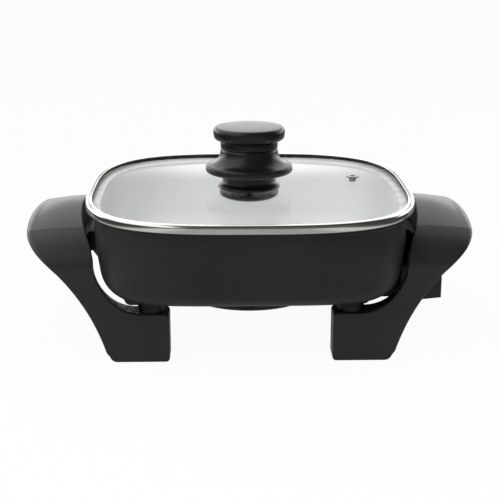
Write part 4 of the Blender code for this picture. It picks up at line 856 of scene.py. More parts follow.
def glass_finish(finishes):
    """Flat tempered glass: light goes straight through, and more is mirrored at a low angle."""
    finish = Finish("clear_lid_glass", finishes.glass, 0.03, 1.0)
    finish.feed("Roughness", 0.012 + 0.02 * finish.noise(9, detail=2))
    clear = finish.add("ShaderNodeBsdfTransparent", {}, {"Color": (*finishes.glass, 1)})
    facing = finish.add("ShaderNodeLayerWeight", {}, {"Blend": 0.5}, "Facing")
    low_angle = facing.maths("POWER", facing, 5)
    share = (GLASS_STRAIGHT_MIRROR + (1 - GLASS_STRAIGHT_MIRROR) * low_angle) * GLASS_MIRROR
    mirror = Field(finish, finish.shader.outputs[0])
    finish.show_as(finish.add("ShaderNodeMixShader", {}, {"Fac": share, 1: clear, 2: mirror}))
    return finish.material


def ray_kinds(sheet):
    """Masks for rays that see a thing straight or through glass, and for rays that gloss mirrors."""
    camera, through, gloss = (sheet.add("ShaderNodeLightPath", {}, {}, "Is %s Ray" % kind)
                              for kind in ("Camera", "Transmission", "Glossy"))
    mirrored = gloss * (1 - camera.maths("MAXIMUM", camera, through))
    return camera.maths("MAXIMUM", camera, through), mirrored


# Pieces

def pan_side(sizes, top_inset, floor_z, radius, wall_steps, turn_steps):
    """(inset, height) down the pan's side and round to its flat floor."""
    wall_height = PAN_TOP - floor_z - radius * (1 - math.sin(sizes.draft))
    slant = math.tan(sizes.draft) * wall_height
    profile = []
    for step in range(wall_steps):
        share = step / wall_steps
        profile.append((top_inset + slant * share - sizes.bow * math.sin(math.pi * share),
                        PAN_TOP - wall_height * share))
    centre = top_inset + slant + radius * math.cos(sizes.draft)
    for step in range(turn_steps + 1):
        turn = lerp(sizes.draft, QUARTER, step / turn_steps)
        profile.append((centre - radius * math.cos(turn), floor_z + radius - radius * math.sin(turn)))
    return profile


def pan_sizes():
    """Sizes of the pan, which other pieces are fitted to."""
    return bpy.context.scene.skillet_pan


def pan_power(z):
    """How square the pan is at a height: rounder at its rim than at its bottom."""
    sizes = pan_sizes()
    return lerp(sizes.low_squareness, sizes.squareness, smooth_share(z, sizes.bottom, PAN_TOP))


def pan_outline(sizes):
    """Closed (radius, height) outline of the pan before it is squared off."""
    half = sizes.half
    floor_top = sizes.bottom + sizes.floor
    outside = pan_side(sizes, 0, sizes.bottom, sizes.corner, wall_steps=14, turn_steps=16)
    inside = pan_side(sizes, sizes.wall, floor_top, sizes.corner - sizes.wall,
                      wall_steps=14, turn_steps=14)
    top = PAN_TOP
    low = top - sizes.lip_height
    bead = sizes.lip_reach
    lip = arc((0, low + bead), bead, 250, 180, 4)
    lip += arc((0, top - bead), bead, 180, 90, 5)
    outline = [(0, sizes.bottom)]
    flat = half - outside[-1][0]
    outline += [(flat * share, sizes.bottom) for share in FLOOR_RINGS]
    outline += [(half - inset, z) for inset, z in reversed(outside) if z < low - bead / 2]
    outline += [(half - inset, z) for inset, z in lip]
    edge = sizes.wall / 6
    outline += [(half - inset, z) for inset, z in arc((sizes.wall - edge, top - edge), edge, 90, 0, 3)]
    outline += [(half - inset, z) for inset, z in inside[1:]]
    inner_flat = half - inside[-1][0]
    outline += [(inner_flat * share, floor_top) for share in reversed(FLOOR_RINGS)]
    outline.append((0, floor_top))
    return outline


def squared_to_pan(piece):
    """A round piece made as square as the pan is at each height."""
    half = pan_sizes().half
    square_off(piece, half, pan_power, half * PAN_EVEN_SHARE)
    return piece


def pan_form():
    """The pan's outer form, grown by a part of the seat gap and closed at the top."""
    sizes = pan_sizes()
    grown = SEAT_GAP * FIT_SHARE
    outside = pan_side(sizes, 0, sizes.bottom, sizes.corner, wall_steps=8, turn_steps=12)
    outline = [(0, sizes.bottom - SEAT_GAP)]
    outline += [(sizes.half - inset + grown, z - grown) for inset, z in reversed(outside)]
    outline.append((0, PAN_TOP))
    return squared_to_pan(turned("pan_form", outline, steps=144))


class SKILLET_OT_pan(bpy.types.Operator):
    """Cast pan with its rolled lip, pale lining, element rib, leg bosses and probe well"""
    bl_idname = "skillet.pan"
    bl_label = "Pan"

    def execute(self, context):
        sizes = context.scene.skillet_pan
        finishes = context.scene.skillet_finishes
        pan = turned("pan_casting", pan_outline(sizes), sizes.steps)
        lined = [self.is_lined(face, sizes) for face in pan.data.polygons]
        squared_to_pan(pan)
        pan.data.materials.append(coating_finish(finishes))
        pan.data.materials.append(lining_finish(finishes))
        for face, inside in zip(pan.data.polygons, lined):
            face.material_index = 1 if inside else 0
        self.underside(sizes, pan.data.materials[0])
        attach(pan, "base")
        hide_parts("pan")
        return {"FINISHED"}

    def is_lined(self, face, sizes):
        """Whether a face of the casting, while it is still round, lies inside the pan."""
        place, normal = face.center, face.normal
        radius = math.hypot(place.x, place.y)
        border = sizes.half - sizes.wall * LINING_BORDER_SHARE
        in_wall = radius >= border - math.tan(sizes.draft) * (PAN_TOP - place.z)
        under_floor = place.z <= sizes.bottom + sizes.floor / 2
        on_wall = radius > sizes.half * LINING_WALL_SHARE
        on_lip = normal.x * place.x + normal.y * place.y > 0 and normal.z < LIP_RISE
        return (normal.z > LINING_RISE or on_wall) and not (in_wall or under_floor or on_lip)

    def underside(self, sizes, coating):
        """What stands down from the floor, cut from a refined copy of the casting."""
        ribs = refined("pan", "pan_underside_ribs", UNDERSIDE_BEVEL)
        edit_all()
        bpy.ops.mesh.bisect(plane_co=(0, 0, sizes.bottom - SEAT_GAP), plane_no=(0, 0, 1),
                            use_fill=True, clear_outer=True)
        finish_edit(smooth_degrees=32)
        for vertex in ribs.data.vertices:
            if vertex.co.z > sizes.bottom - 2 * SEAT_GAP:
                vertex.co.z += 2 * SEAT_GAP
        show(ribs, coating, "base", "pan_coating")


class HandleForm:
    """Skin of one handle: its crown line, its outer and inner side and its rounded edges."""

    def __init__(self, sizes):
        spacer_x = -(SPACER_LOW.x + SPACER_HIGH.x) / 2
        self.sizes = sizes
        self.front = sizes.arch_half + sizes.leg_depth
        self.top = PAN_TOP - sizes.below_rim
        self.arch_top = self.top - sizes.thickness
        self.corner = Vector((sizes.arch_half, self.arch_top)) - Vector((1, 1)) * sizes.arch_radius
        self.shoulder = self.front - sizes.shoulder
        self.inner = pan_sizes().half + sizes.gap
        self.outer = self.inner + sizes.width
        self.toe = spacer_x - sizes.foot_toe
        self.heel = spacer_x + sizes.foot_heel
        start = Vector((self.shoulder, self.top - sizes.crown))
        end = Vector((self.front, start.y - sizes.shoulder_drop))
        slant = Vector((math.cos(sizes.shoulder_slope), -math.sin(sizes.shoulder_slope)))
        self.shoulder_line = interpolate_bezier(start, start + sizes.shoulder_ease * slant,
                                                end + Vector((0, sizes.shoulder_ease)), end,
                                                SHOULDER_POINTS)

    def crown(self, y):
        """Height of the top line: a crown, a slanted shoulder and a turn down into the face."""
        if y <= self.shoulder:
            return self.top - self.sizes.crown * (y / self.shoulder) ** 2
        pairs = zip(self.shoulder_line, self.shoulder_line[1:])
        near, far = next((pair for pair in pairs if pair[1].x >= y), self.shoulder_line[-2:])
        return lerp(near.y, far.y, (y - near.x) / (far.x - near.x))

    def roll_share(self, y):
        """How much of the full roll is left: its lower end stays level, then it fades to the face."""
        depth = self.sizes.roll + self.sizes.fall
        at_shoulder = 1 - self.sizes.crown / depth
        if y <= self.shoulder:
            return 1 - (self.top - self.crown(y)) / depth
        gone = (y - self.shoulder) / (self.front - self.shoulder)
        return lerp(at_shoulder, self.sizes.face_roll, gone)

    def inner_edge(self, y):
        """The grip's inner side, bowed round the pan's corner."""
        return self.inner - self.sizes.tuck * (y / self.front) ** 2

    def outside(self, y, z):
        """The outer side: a swelling curve up from the heel, bowed out at the grip's middle."""
        swell = LEG_SWELL_HEIGHT_SHARE * self.top
        full = LEG_TOP_HEIGHT_SHARE * self.top
        swell_x = lerp(self.heel, self.outer, LEG_SWELL_WIDTH_SHARE)
        if z < swell:
            x = hermite(z / swell, self.heel, swell_x, LEG_FOOT_SLOPE, LEG_SWELL_SLOPE, swell)
        elif z < full:
            span = full - swell
            x = hermite((z - swell) / span, swell_x, self.outer, LEG_SWELL_SLOPE, 0, span)
        else:
            x = self.outer
        return x + self.sizes.bow * (1 - (y / self.front) ** 2) * smooth_share(z, 0, swell)

    def inside(self, y, z):
        """A long fillet up from the foot, then the throat beside the pan."""
        sizes = self.sizes
        forward = min(max((y - sizes.arch_half) / sizes.leg_depth, 0), 1)
        width = lerp(*LEG_FILLET_WIDTHS, forward)
        height = lerp(*LEG_FILLET_HEIGHTS, forward)
        throat = self.inner - sizes.throat - sizes.throat_draft * forward
        fillet_top = sizes.foot_height + height
        if z < fillet_top:
            rise = (fillet_top - z) / height
            x = throat - width + width * math.sqrt(max(1 - rise * rise, 0))
        else:
            crease = max(self.top - sizes.crown, fillet_top + SEAT_GAP)
            x = lerp(throat, self.inner_edge(y), smooth_share(z, fillet_top, crease))
        beyond = 1 - smooth_share(y, sizes.arch_half - LEG_FILLET_WIDTHS[0] / 2, sizes.arch_half)
        arch_turn = self.arch_top - LUG_RISE / 2
        above = smooth_share(z, arch_turn - sizes.arch_radius, arch_turn)
        return lerp(x, self.inner_edge(y), beyond * above)

    def levels(self, y, low, high, ease):
        """Heights up a side, close together beside the arch's corner and even near the face."""
        fine = (self.corner.y - self.sizes.edge_radius, self.arch_top + self.sizes.edge_radius)
        below, beside, above = SIDE_LEVELS
        close = [lerp(low, fine[0], (i / below) ** ease) for i in range(below)]
        close += [lerp(*fine, i / beside) for i in range(beside)]
        close += [lerp(fine[1], high, i / above) for i in range(above + 1)]
        even = [lerp(low, high, (i / (len(close) - 1)) ** ease) for i in range(len(close))]
        spread = smooth_share(y, self.sizes.arch_half + self.sizes.edge_radius,
                              self.front - self.sizes.edge_radius * 5)
        return [lerp(a, b, spread) for a, b in zip(close, even)]

    def edge_inset(self, y, z):
        """How far the skin draws in for the rounded edges beside the arch and beside the face.

        It doesn't draw in at the top of the face, where the shoulder turns down into it.
        """
        edge = self.sizes.edge_radius
        across, up = y - self.corner.x, z - self.corner.y
        from_corner = math.hypot(max(across, 0), max(up, 0)) + min(max(across, up), 0)
        from_arch = from_corner - self.sizes.arch_radius
        from_face = lerp(edge, self.front - y, smooth_share(self.crown(y) - z, edge / 2, 5 * edge))
        short = min(max(edge - min(from_arch, from_face), 0), edge)
        return edge - math.sqrt(edge * edge - short * short)

    def section(self, y):
        """Closed outline across the handle at a distance from its middle."""
        sizes = self.sizes
        top = self.crown(y)
        share = self.roll_share(y)
        roll, fall = sizes.roll * share, sizes.fall * share
        roll_z = top - fall - roll
        roll_x = self.outside(y, roll_z) - roll
        toe, heel, grip = sizes.toe_radius, sizes.heel_radius, sizes.grip_radius
        grip_x = self.inside(y, top - grip) + grip
        outline = arc((self.toe + toe, toe), toe, 180, 270, 5)
        outline += arc((self.outside(y, 0) - heel, heel), heel, 270, 345, 6)
        outline += [(self.outside(y, z), z) for z in self.levels(y, heel, roll_z, 1)[1:-1]]
        outline += arc((roll_x, roll_z), roll, 0, 90, 12)
        shares = [i / TOP_STEPS for i in range(1, TOP_STEPS)]
        outline += [(lerp(roll_x, grip_x, s), top - fall * (1 - s) ** 2) for s in shares]
        outline += arc((grip_x, top - grip), grip, 90, 180, 6)
        levels = self.levels(y, sizes.foot_height, top - grip, 2)
        outline += [(self.inside(y, z), z) for z in reversed(levels[:-1])]
        outline += arc((self.toe + toe, sizes.foot_height - toe), toe, 90, 180, 5)
        drawn_in = []
        for i, (x, z) in enumerate(outline):
            along = (Vector(outline[(i + 1) % len(outline)]) - Vector(outline[i - 1])).normalized()
            inset = self.edge_inset(y, z)
            drawn_in.append((x - along.y * inset, z + along.x * inset))
        return drawn_in

    def stations(self):
        """Distances from the middle, close together at the arch's corner and at the face."""
        edge = self.sizes.edge_radius
        stops = (0, self.corner.x - edge, self.sizes.arch_half + edge, self.front - edge)
        places = []
        for start, end, steps in zip(stops, stops[1:], STATION_STEPS):
            places += [lerp(start, end, i / steps) for i in range(steps)]
        return places + [self.front - edge * (1 - math.sin(QUARTER * i / 6)) for i in range(7)]


class SKILLET_OT_handles(bpy.types.Operator):
    """Two mouldings, each a crowned grip and two legs, and the cast lugs that carry them"""
    bl_idname = "skillet.handles"
    bl_label = "Handles and legs"

    def execute(self, context):
        sizes = context.scene.skillet_handles
        finishes = context.scene.skillet_finishes
        form = HandleForm(sizes)
        half = [(y, form.section(y)) for y in form.stations()]
        rings = [[(x, -y, z) for x, z in outline] for y, outline in reversed(half)]
        rings += [[(x, y, z) for x, z in outline] for y, outline in half[1:]]
        right = swept("right_handle_moulding", rings, smooth_degrees=40)
        cut(right, self.arch(form))
        cut(right, joined(self.pockets(form) + self.foot_holes(form)))
        left = mirrored(right, "left_handle_moulding", (-1, 1, 1))
        plastic = moulded_finish("handle_plastic", finishes.handle, gloss=0.36,
                                 grain_scale=1500, grain_depth=0.00004)
        for side, moulding in (("right", right), ("left", left)):
            crisp(moulding, smooth_degrees=40)
            show(moulding, plastic, "base", "handle_phenolic", "handle_" + side)
        lug = self.lug(form)
        coating = coating_finish(finishes)
        show(mirrored(lug, "left_pan_lug", (-1, 1, 1)), coating, "base", "bracket_coating",
             "handle_bracket_left")
        show(lug, coating, "base", "bracket_coating", "handle_bracket_right")
        return {"FINISHED"}

    def lug(self, form):
        """Cast lug that flares into a pad against the grip and is shaped to the pan's side."""
        low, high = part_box("handle_bracket_right")
        root = pan_sizes().half - pan_sizes().corner
        half = high.y
        pad_end = half + LUG_FLARE
        face = form.inner_edge(pad_end) - SEAT_GAP
        neck = face - 2 * LUG_PAD
        side = [(root, half), (neck, half)]
        side += [(neck + LUG_PAD * math.sin(a), half + LUG_FLARE * (1 - math.cos(a)))
                 for a in (QUARTER * i / 6 for i in range(1, 7))]
        side += [(form.inner_edge(y) - SEAT_GAP, y) for y in (pad_end * i / 4 for i in range(4, 0, -1))]
        outline = [(x, -y) for x, y in side] + [(form.inner - SEAT_GAP, 0)] + list(reversed(side))
        rings = []
        for share, inset in ((0, 1), (0, 0.3), (0, 0), (1, 0), (1, 0.3), (1, 1)):
            drop = LUG_EDGE * (1 - math.sqrt(1 - (1 - inset) ** 2))
            ring = []
            for x, y in outline:
                slope = LUG_SLOPE * (form.inner - x) / (form.inner - root)
                z = lerp(low.z + slope + drop, high.z - drop, share)
                ring.append((x, y * (1 - inset * LUG_EDGE / half), z))
            rings.append(ring)
        lug = swept("right_pan_lug", rings, smooth_degrees=40)
        cut(lug, pan_form())
        crisp(lug, smooth_degrees=40)
        return lug

    def arch(self, form):
        """Clear space between the two legs, under the grip."""
        sizes = form.sizes
        outline = [(-sizes.arch_half, -OVERRUN), (sizes.arch_half, -OVERRUN)]
        outline += arc(form.corner, sizes.arch_radius, 0, 90, 24)
        outline += [(-y, z) for y, z in arc(form.corner, sizes.arch_radius, 90, 0, 24)]
        low_x, high_x = form.toe - OVERRUN, form.outer + sizes.bow + OVERRUN
        return swept("arch_space", [[(x, y, z) for y, z in outline] for x in (low_x, high_x)])

    def pockets(self, form):
        """Cored pockets that keep the grip's walls even."""
        sizes = form.sizes
        low_x = form.inner + sizes.pocket_wall
        span = (2 * (sizes.arch_half - sizes.pocket_wall) - 2 * sizes.pocket_rib) / 3
        cores = []
        for row in (-1, 0, 1):
            middle = row * (span + sizes.pocket_rib)
            cores.append(brick("pocket", (low_x, middle - span / 2, form.arch_top - OVERRUN),
                               (low_x + sizes.pocket_width, middle + span / 2,
                                form.arch_top + sizes.pocket_depth), POCKET_BEVEL))
        return cores

    def foot_holes(self, form):
        """Stepped holes for the leg screws."""
        low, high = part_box("leg_screw_front_left")
        head = (high.x - low.x) / 2 + 2 * SEAT_GAP
        seat = low.z + SCREW_HEAD_HEIGHT
        shank = head * SHANK_SHARE
        top = form.sizes.foot_height + OVERRUN
        outline = [(0, -OVERRUN), (head, -OVERRUN), (head, seat), (shank, seat), (shank, top), (0, top)]
        spacer = (SPACER_LOW + SPACER_HIGH) / 2
        return [move(turned("foot_hole", outline, steps=40), (-spacer.x, end * spacer.y, 0))
                for end in (-1, 1)]


def band_profile(sizes):
    """Closed (inset, height) section of the rolled steel channel, its flange sloping inwards."""
    low, top = BAND_LOW.z, BAND_HIGH.z
    sheet, radius, slope = sizes.sheet, sizes.edge_radius, sizes.flange_slope
    bend = (radius, top - radius)
    turned_to = 90 - math.degrees(slope)
    outer = arc(bend, radius, 180, turned_to, 8)
    inner = arc(bend, radius - sheet, turned_to, 180, 6)
    run = (sizes.flange - outer[-1][0]) / math.cos(slope) - sheet / 2
    lip = (outer[-1][0] + run * math.cos(slope) - sheet / 2 * math.sin(slope),
           outer[-1][1] - run * math.sin(slope) - sheet / 2 * math.cos(slope))
    foot = sheet * 0.9
    profile = arc((foot, low + foot), foot, 240, 180, 4)
    profile += [(0, lerp(low + foot, top - radius, 0.5))] + outer
    profile += arc(lip, sheet / 2, turned_to, turned_to - 180, 8) + inner
    profile += [(sheet, low + sheet), (sizes.shelf - sheet / 2, low + sheet)]
    profile += arc((sizes.shelf - sheet / 2, low + sheet / 2), sheet / 2, 90, -90, 5)
    profile += [(sizes.shelf - sheet / 2, low), (foot, low)]
    clean = [profile[0]]
    for point in profile[1:]:
        if math.dist(point, clean[-1]) > 10 * WELD:
            clean.append(point)
    return clean


def squared_to_lid(piece):
    """A round piece made as square as the lid is."""
    squareness = bpy.context.scene.skillet_lid.squareness
    square_off(piece, BAND_HIGH.x, lambda z: squareness, BAND_HIGH.x * LID_EVEN_SHARE)
    return piece


def lid_ring(name, profile, steps):
    """Ring of the lid from a closed (inset, height) profile."""
    return squared_to_lid(turned(name, [(BAND_HIGH.x - inset, z) for inset, z in profile], steps))


class SKILLET_OT_lid(bpy.types.Operator):
    """Steel band, its seal, the glass and the steam vent"""
    bl_idname = "skillet.lid"
    bl_label = "Lid"

    def execute(self, context):
        sizes = context.scene.skillet_lid
        finishes = context.scene.skillet_finishes
        steps = pan_sizes().steps
        band = lid_ring("rolled_steel_band", band_profile(sizes), steps)
        band.data.materials.append(steel_finish(finishes))
        # The shelf's faces take a paler, less metallic copy of the band's steel: painted light over
        # real satin steel, so the strip under the glass shows bright where the flange shades it
        band.data.materials.append(plated_finish("satin_shelf_steel", finishes.shelf,
                                                 rough=0.50, metallic=0.4))
        for face in band.data.polygons:
            on_shelf = face.normal.z > 0.5 and face.center.z < BAND_LOW.z + 2 * sizes.sheet
            face.material_index = 1 if on_shelf else 0
        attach(band, "lid")
        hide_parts("lid_band")
        seal = lid_ring("glass_seal", self.seal_profile(sizes), steps)
        show(seal, rubber_finish(finishes), "lid", "black_rubber", "lid_gasket")
        show(self.glass(sizes, steps), glass_finish(finishes), "lid", "lid_glass", "lid_glass")
        # The eyelet's darker steel is partly painted shade: it stands for the shadow round the eyelet
        # and its rolled rim
        shaded_eyelet_steel = plated_finish("vent_steel_painted_shade", finishes.vent, rough=0.24)
        show(self.vent(sizes), shaded_eyelet_steel, "lid", "lid_steel", "vent_eyelet")
        return {"FINISHED"}

    def seal_profile(self, sizes):
        """Dark seal round the glass edge, with a lip that shows inside the flange."""
        low, high = GASKET_LOW.z, GASKET_HIGH.z
        outer = BAND_HIGH.x - GASKET_HIGH.x
        lip = sizes.flange + SEAT_GAP
        glass_top = GLASS_LOW.z + sizes.glass + SEAT_GAP / 4
        edge = sizes.edge_set_in - SEAT_GAP
        chamfer = sizes.edge_radius / 2
        lip_high = high - (lip - outer - chamfer) * math.tan(sizes.flange_slope) + SEAT_GAP / 3
        return [(outer, low), (outer, high - chamfer), (outer + chamfer, high),
                (lip, lip_high), (lip + SEAT_GAP / 2, lip_high - SEAT_GAP / 2), (lip, glass_top),
                (edge, glass_top), (edge, low)]

    def glass(self, sizes, steps):
        """Pane with a slight dome and broken edges, holed for the knob's screw and the vent."""
        half = BAND_HIGH.x - sizes.edge_set_in
        low = GLASS_LOW.z
        arris = sizes.glass / 6
        domed = [(half * share, sizes.dome * (1 - share * share)) for share in GLASS_RINGS]
        outline = [(KNOB_HOLE, low + sizes.dome)]
        outline += [(radius, low + dome) for radius, dome in reversed(domed)]
        outline += [(half - arris, low), (half, low + arris), (half, low + sizes.glass - arris),
                    (half - arris, low + sizes.glass)]
        outline += [(radius, low + sizes.glass + dome) for radius, dome in domed]
        outline.append((KNOB_HOLE, low + sizes.glass + sizes.dome))
        plate = squared_to_lid(turned("lid_pane", outline, steps))
        hole = self.vent_radius() - VENT_NECK + SEAT_GAP
        vent = (VENT_LOW + VENT_HIGH) / 2
        cut(plate, round_bar("vent_hole", hole, VENT_CUT, vent, steps=48))
        return smoothed(plate, smooth_degrees=30)

    def vent_radius(self):
        return (VENT_HIGH.x - VENT_LOW.x) / 2 + VENT_RIM

    def vent(self, sizes):
        """Pressed eyelet with a rolled rim, open for steam."""
        rim = self.vent_radius()
        neck = rim - VENT_NECK
        bore = neck - VENT_RISE
        top = GLASS_HIGH.z + VENT_RISE
        low = GLASS_LOW.z
        seat = GLASS_LOW.z + sizes.glass + SEAT_GAP
        roll = (top - seat) / 2
        outline = [(bore, low), (neck, low), (neck, seat)]
        outline += arc((rim - roll, seat + roll), roll, -90, 90, 8)
        outline += arc((bore + roll, top - roll), roll, 90, 180, 6)
        eyelet = turned("steam_vent", outline, steps=64)
        return move(eyelet, ((VENT_LOW.x + VENT_HIGH.x) / 2, (VENT_LOW.y + VENT_HIGH.y) / 2, 0))


class SKILLET_OT_knob(bpy.types.Operator):
    """Finger guard, neck ring and disc of the lid's knob, with the cap under the glass"""
    bl_idname = "skillet.knob"
    bl_label = "Knob"

    def execute(self, context):
        sizes = context.scene.skillet_knob
        finishes = context.scene.skillet_finishes
        plastic = moulded_finish("knob_plastic", finishes.knob, gloss=0.30,
                                 grain_scale=2100, grain_depth=0.00003)
        parts = {"knob_guard": ("knob_finger_guard", self.guard),
                 "knob_ring": ("knob_neck_ring", self.ring),
                 "knob_cap": ("knob_disc", self.disc),
                 "knob_under_cap": ("knob_inner_cap", self.under_cap)}
        for node, (name, outline) in parts.items():
            piece = turned(name, outline(sizes), sizes.steps, smooth_degrees=34)
            show(piece, plastic, "lid", "knob_phenolic", node)
        return {"FINISHED"}

    def guard(self, sizes):
        """Stem, finger guard and flare up to the lower groove."""
        bore, stem, neck = sizes.bore / 2, sizes.stem / 2, sizes.neck / 2
        guard, collar = sizes.guard / 2, sizes.collar / 2
        seat, top = GUARD_LOW.z, GUARD_HIGH.z
        low = seat + sizes.guard_rise
        high = low + sizes.guard_thickness
        rounding = fillet = sizes.guard_thickness / 3
        outline = [(bore, top), (neck - 2 * SEAT_GAP, top)]
        outline += arc((neck - 2 * SEAT_GAP, top - SEAT_GAP), SEAT_GAP, 90, 0, 2)[1:]
        swings = [QUARTER * step / FLARE_STEPS for step in range(1, FLARE_STEPS)]
        outline += [(lerp(guard - rounding, neck, math.sin(swing)),
                     lerp(high, top - SEAT_GAP, 1 - math.cos(swing))) for swing in reversed(swings)]
        outline += arc((guard - rounding, high - rounding), rounding, 90, 0, 6)
        outline += arc((guard - rounding, low + rounding), rounding, 0, -90, 6)
        outline += [(lerp(guard - rounding, stem + fillet, 0.5), low + SEAT_GAP / 2)]
        outline += arc((stem + fillet, low - fillet), fillet, 90, 180, 5)
        foot = seat + sizes.guard_rise * GUARD_FOOT_SHARE
        outline += [(stem, lerp(low - fillet, foot, 0.5)), (stem, foot + fillet)]
        outline += arc((stem + fillet * 1.2, foot + fillet), fillet * 1.2, 180, 235, 4)[1:]
        outline += arc((collar - rounding / 2, seat + rounding / 2), rounding / 2, 80, 0, 4)
        outline += [(collar, seat), (bore, seat)]
        return outline

    def ring(self, sizes):
        """Plain neck ring between two grooves."""
        bore, neck, groove = sizes.bore / 2, sizes.neck / 2, 2 * SEAT_GAP
        low, high = RING_LOW.z, RING_HIGH.z
        outline = [(bore, high)] + arc((neck - groove, high - groove), groove, 90, 0, 3)
        outline += arc((neck - groove, low + groove), groove, 0, -90, 3) + [(bore, low)]
        return outline

    def disc(self, sizes):
        """Thick disc with a full roll at its edge and a nearly flat top."""
        bore, neck = sizes.bore / 2, sizes.neck / 2
        top, flat = sizes.top / 2, sizes.flat / 2
        low, high = KNOB_LOW.z, KNOB_HIGH.z
        disc_low = low + sizes.neck_height
        widest = lerp(disc_low, high, DISC_WIDEST_SHARE)
        bore_end = high - DISC_BORE_END
        groove = 2 * SEAT_GAP
        swings = [QUARTER * i / 12 for i in range(13)]
        rim = [(lerp(flat, top, math.sin(a)), lerp(widest, high - SEAT_GAP, math.cos(a)))
               for a in swings]
        under = [(lerp(neck, top, math.cos(a) ** DISC_FULLNESS),
                  lerp(widest, disc_low, math.sin(a) ** DISC_FULLNESS)) for a in swings[1:-1]]
        outline = [(0, high), (flat * 0.5, high - SEAT_GAP * 0.1), (flat * 0.85, high - SEAT_GAP * 0.5)]
        outline += rim + under + [(neck, disc_low)]
        outline += arc((neck - groove, low + groove), groove, 0, -90, 3)
        outline += [(bore, low), (bore, bore_end), (0, bore_end)]
        return outline

    def under_cap(self, sizes):
        """Cap under the glass, rounded like the bottom of a bowl."""
        bore = sizes.bore / 2
        radius = (CAP_HIGH.x - CAP_LOW.x) / 2
        low, high = CAP_LOW.z + CAP_RISE, CAP_HIGH.z
        head_low, head_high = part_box("knob_screw")
        head = (head_high.x - head_low.x) / 2 + SEAT_GAP
        recess = CAP_LOW.z + CAP_RECESS
        swings = [QUARTER * i / 10 for i in range(11)]
        side = [(lerp(radius * CAP_FLAT_SHARE, radius, math.cos(a)),
                 lerp(high - CAP_SIDE, low, math.sin(a))) for a in swings]
        return [(bore, high), (radius, high)] + side + [(head, low), (head, recess), (bore, recess)]


class SKILLET_OT_control(bpy.types.Operator):
    """Housing, contact block, dial with numbers, pilot lens and gland of the plug-in heat control"""
    bl_idname = "skillet.control"
    bl_label = "Heat control"

    def execute(self, context):
        sizes = context.scene.skillet_control
        finishes = context.scene.skillet_finishes
        plastic = moulded_finish("control_plastic", finishes.control, gloss=0.44,
                                 grain_scale=1800, grain_depth=0.00005)
        for node in ("control_housing_lower", "control_housing_upper"):
            name = node.replace("control_", "heat_") + "_shell"
            shell = refined(node, name, sizes.edge_radius, segments=3)
            show(shell, plastic, "control", "control_phenolic", node)
        block = refined("contact_block", "contact_insulator", FINE_BEVEL)
        show(block, plastic, "control", "control_phenolic", "contact_block")
        show(self.lens(), lens_finish(finishes), "control", "red_lens", "pilot_lens")
        gland = refined("cord_gland", "lead_gland", FINE_BEVEL)
        show(gland, rubber_finish(finishes), "control", "black_rubber", "cord_gland")
        show(self.dial(sizes), plastic, "dial", "control_phenolic", "dial")
        show(self.numbers(sizes), print_finish(finishes), "dial", "control_phenolic")
        return {"FINISHED"}

    def lens(self):
        """Low domed window that stands on a flange."""
        radius = (LENS_HIGH.x - LENS_LOW.x) / 2
        window = radius - LENS_FLANGE
        low, top = LENS_LOW.z, LENS_HIGH.z
        ledge = low + LENS_FLANGE_HEIGHT
        outline = [(window * share, top - LENS_CROWN * drop) for share, drop in LENS_DOME]
        outline += [(window, ledge), (radius, ledge), (radius, low), (0, low)]
        piece = turned("pilot_window", outline, steps=48)
        return move(piece, ((LENS_LOW.x + LENS_HIGH.x) / 2, (LENS_LOW.y + LENS_HIGH.y) / 2, 0))

    def dial_ring(self, sizes, radius, depth_share, z):
        """One level of the fluted dial."""
        steps = sizes.flutes * STEPS_PER_FLUTE
        centre = (DIAL_LOW + DIAL_HIGH) / 2
        ring = []
        for i in range(steps):
            turn = 2 * math.pi * i / steps
            wave = abs(math.cos(sizes.flutes * turn / 2)) ** FLUTE_SHARPNESS
            reach = radius - sizes.flute_depth * depth_share * wave
            ring.append((centre.x + reach * math.cos(turn), centre.y + reach * math.sin(turn), z))
        return ring

    def dial(self, sizes):
        """Fluted dial with a rounded shoulder and a slightly hollow top."""
        low, high = DIAL_LOW.z, DIAL_HIGH.z
        radius = (DIAL_HIGH.x - DIAL_LOW.x) / 2
        rings = [self.dial_ring(sizes, radius - DIAL_CHAMFER, 0.0, low),
                 self.dial_ring(sizes, radius, 0.3, low + DIAL_CHAMFER)]
        for i in range(5):
            level = lerp(low + DIAL_SKIRT, high - DIAL_EDGE, i / 4)
            rings.append(self.dial_ring(sizes, radius, 1.0, level))
        for i in range(1, 7):
            swing = QUARTER * i / 6
            rings.append(self.dial_ring(sizes, radius - DIAL_EDGE * (1 - math.cos(swing)), 1 - i / 6,
                                        high - DIAL_EDGE * (1 - math.sin(swing))))
        rings += [self.dial_ring(sizes, radius * share, 0.0, high - DIAL_HOLLOW_STEP * drop)
                  for share, drop in DIAL_HOLLOW]
        dial = swept("temperature_dial", rings, smooth_degrees=34)
        shaft_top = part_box("dial_shaft")[1].z
        centre = (DIAL_LOW + DIAL_HIGH) / 2
        cut(dial, round_bar("shaft_hole", SHAFT_HOLE, 2 * (shaft_top - low), (centre.x, centre.y, low)))
        return smoothed(dial, smooth_degrees=34)

    def numbers(self, sizes):
        """Plain temperature numbers round the dial's top."""
        centre = (DIAL_LOW + DIAL_HIGH) / 2
        reach = (DIAL_HIGH.x - DIAL_LOW.x) / 2 * NUMBER_REACH_SHARE
        pieces = []
        for i, word in enumerate(DIAL_WORDS):
            turn = QUARTER - sizes.turn * i / (len(DIAL_WORDS) - 1)
            text = added(bpy.ops.object.text_add, "number")
            text.data.body = word
            text.data.size = sizes.number_height
            text.data.extrude = sizes.number_rise
            text.data.align_x = "CENTER"
            text.data.align_y = "CENTER"
            text.rotation_euler = (0, 0, turn - QUARTER)
            text.location = (centre.x + reach * math.cos(turn), centre.y + reach * math.sin(turn),
                             DIAL_HIGH.z)
            bpy.ops.object.convert(target="MESH")
            bpy.ops.object.transform_apply(location=True, rotation=True, scale=True)
            pieces.append(bpy.context.object)
        numbers = joined(pieces)
        numbers.name = "dial_numbers"
        bpy.ops.object.mode_set(mode="EDIT")
        finish_edit()
        return numbers


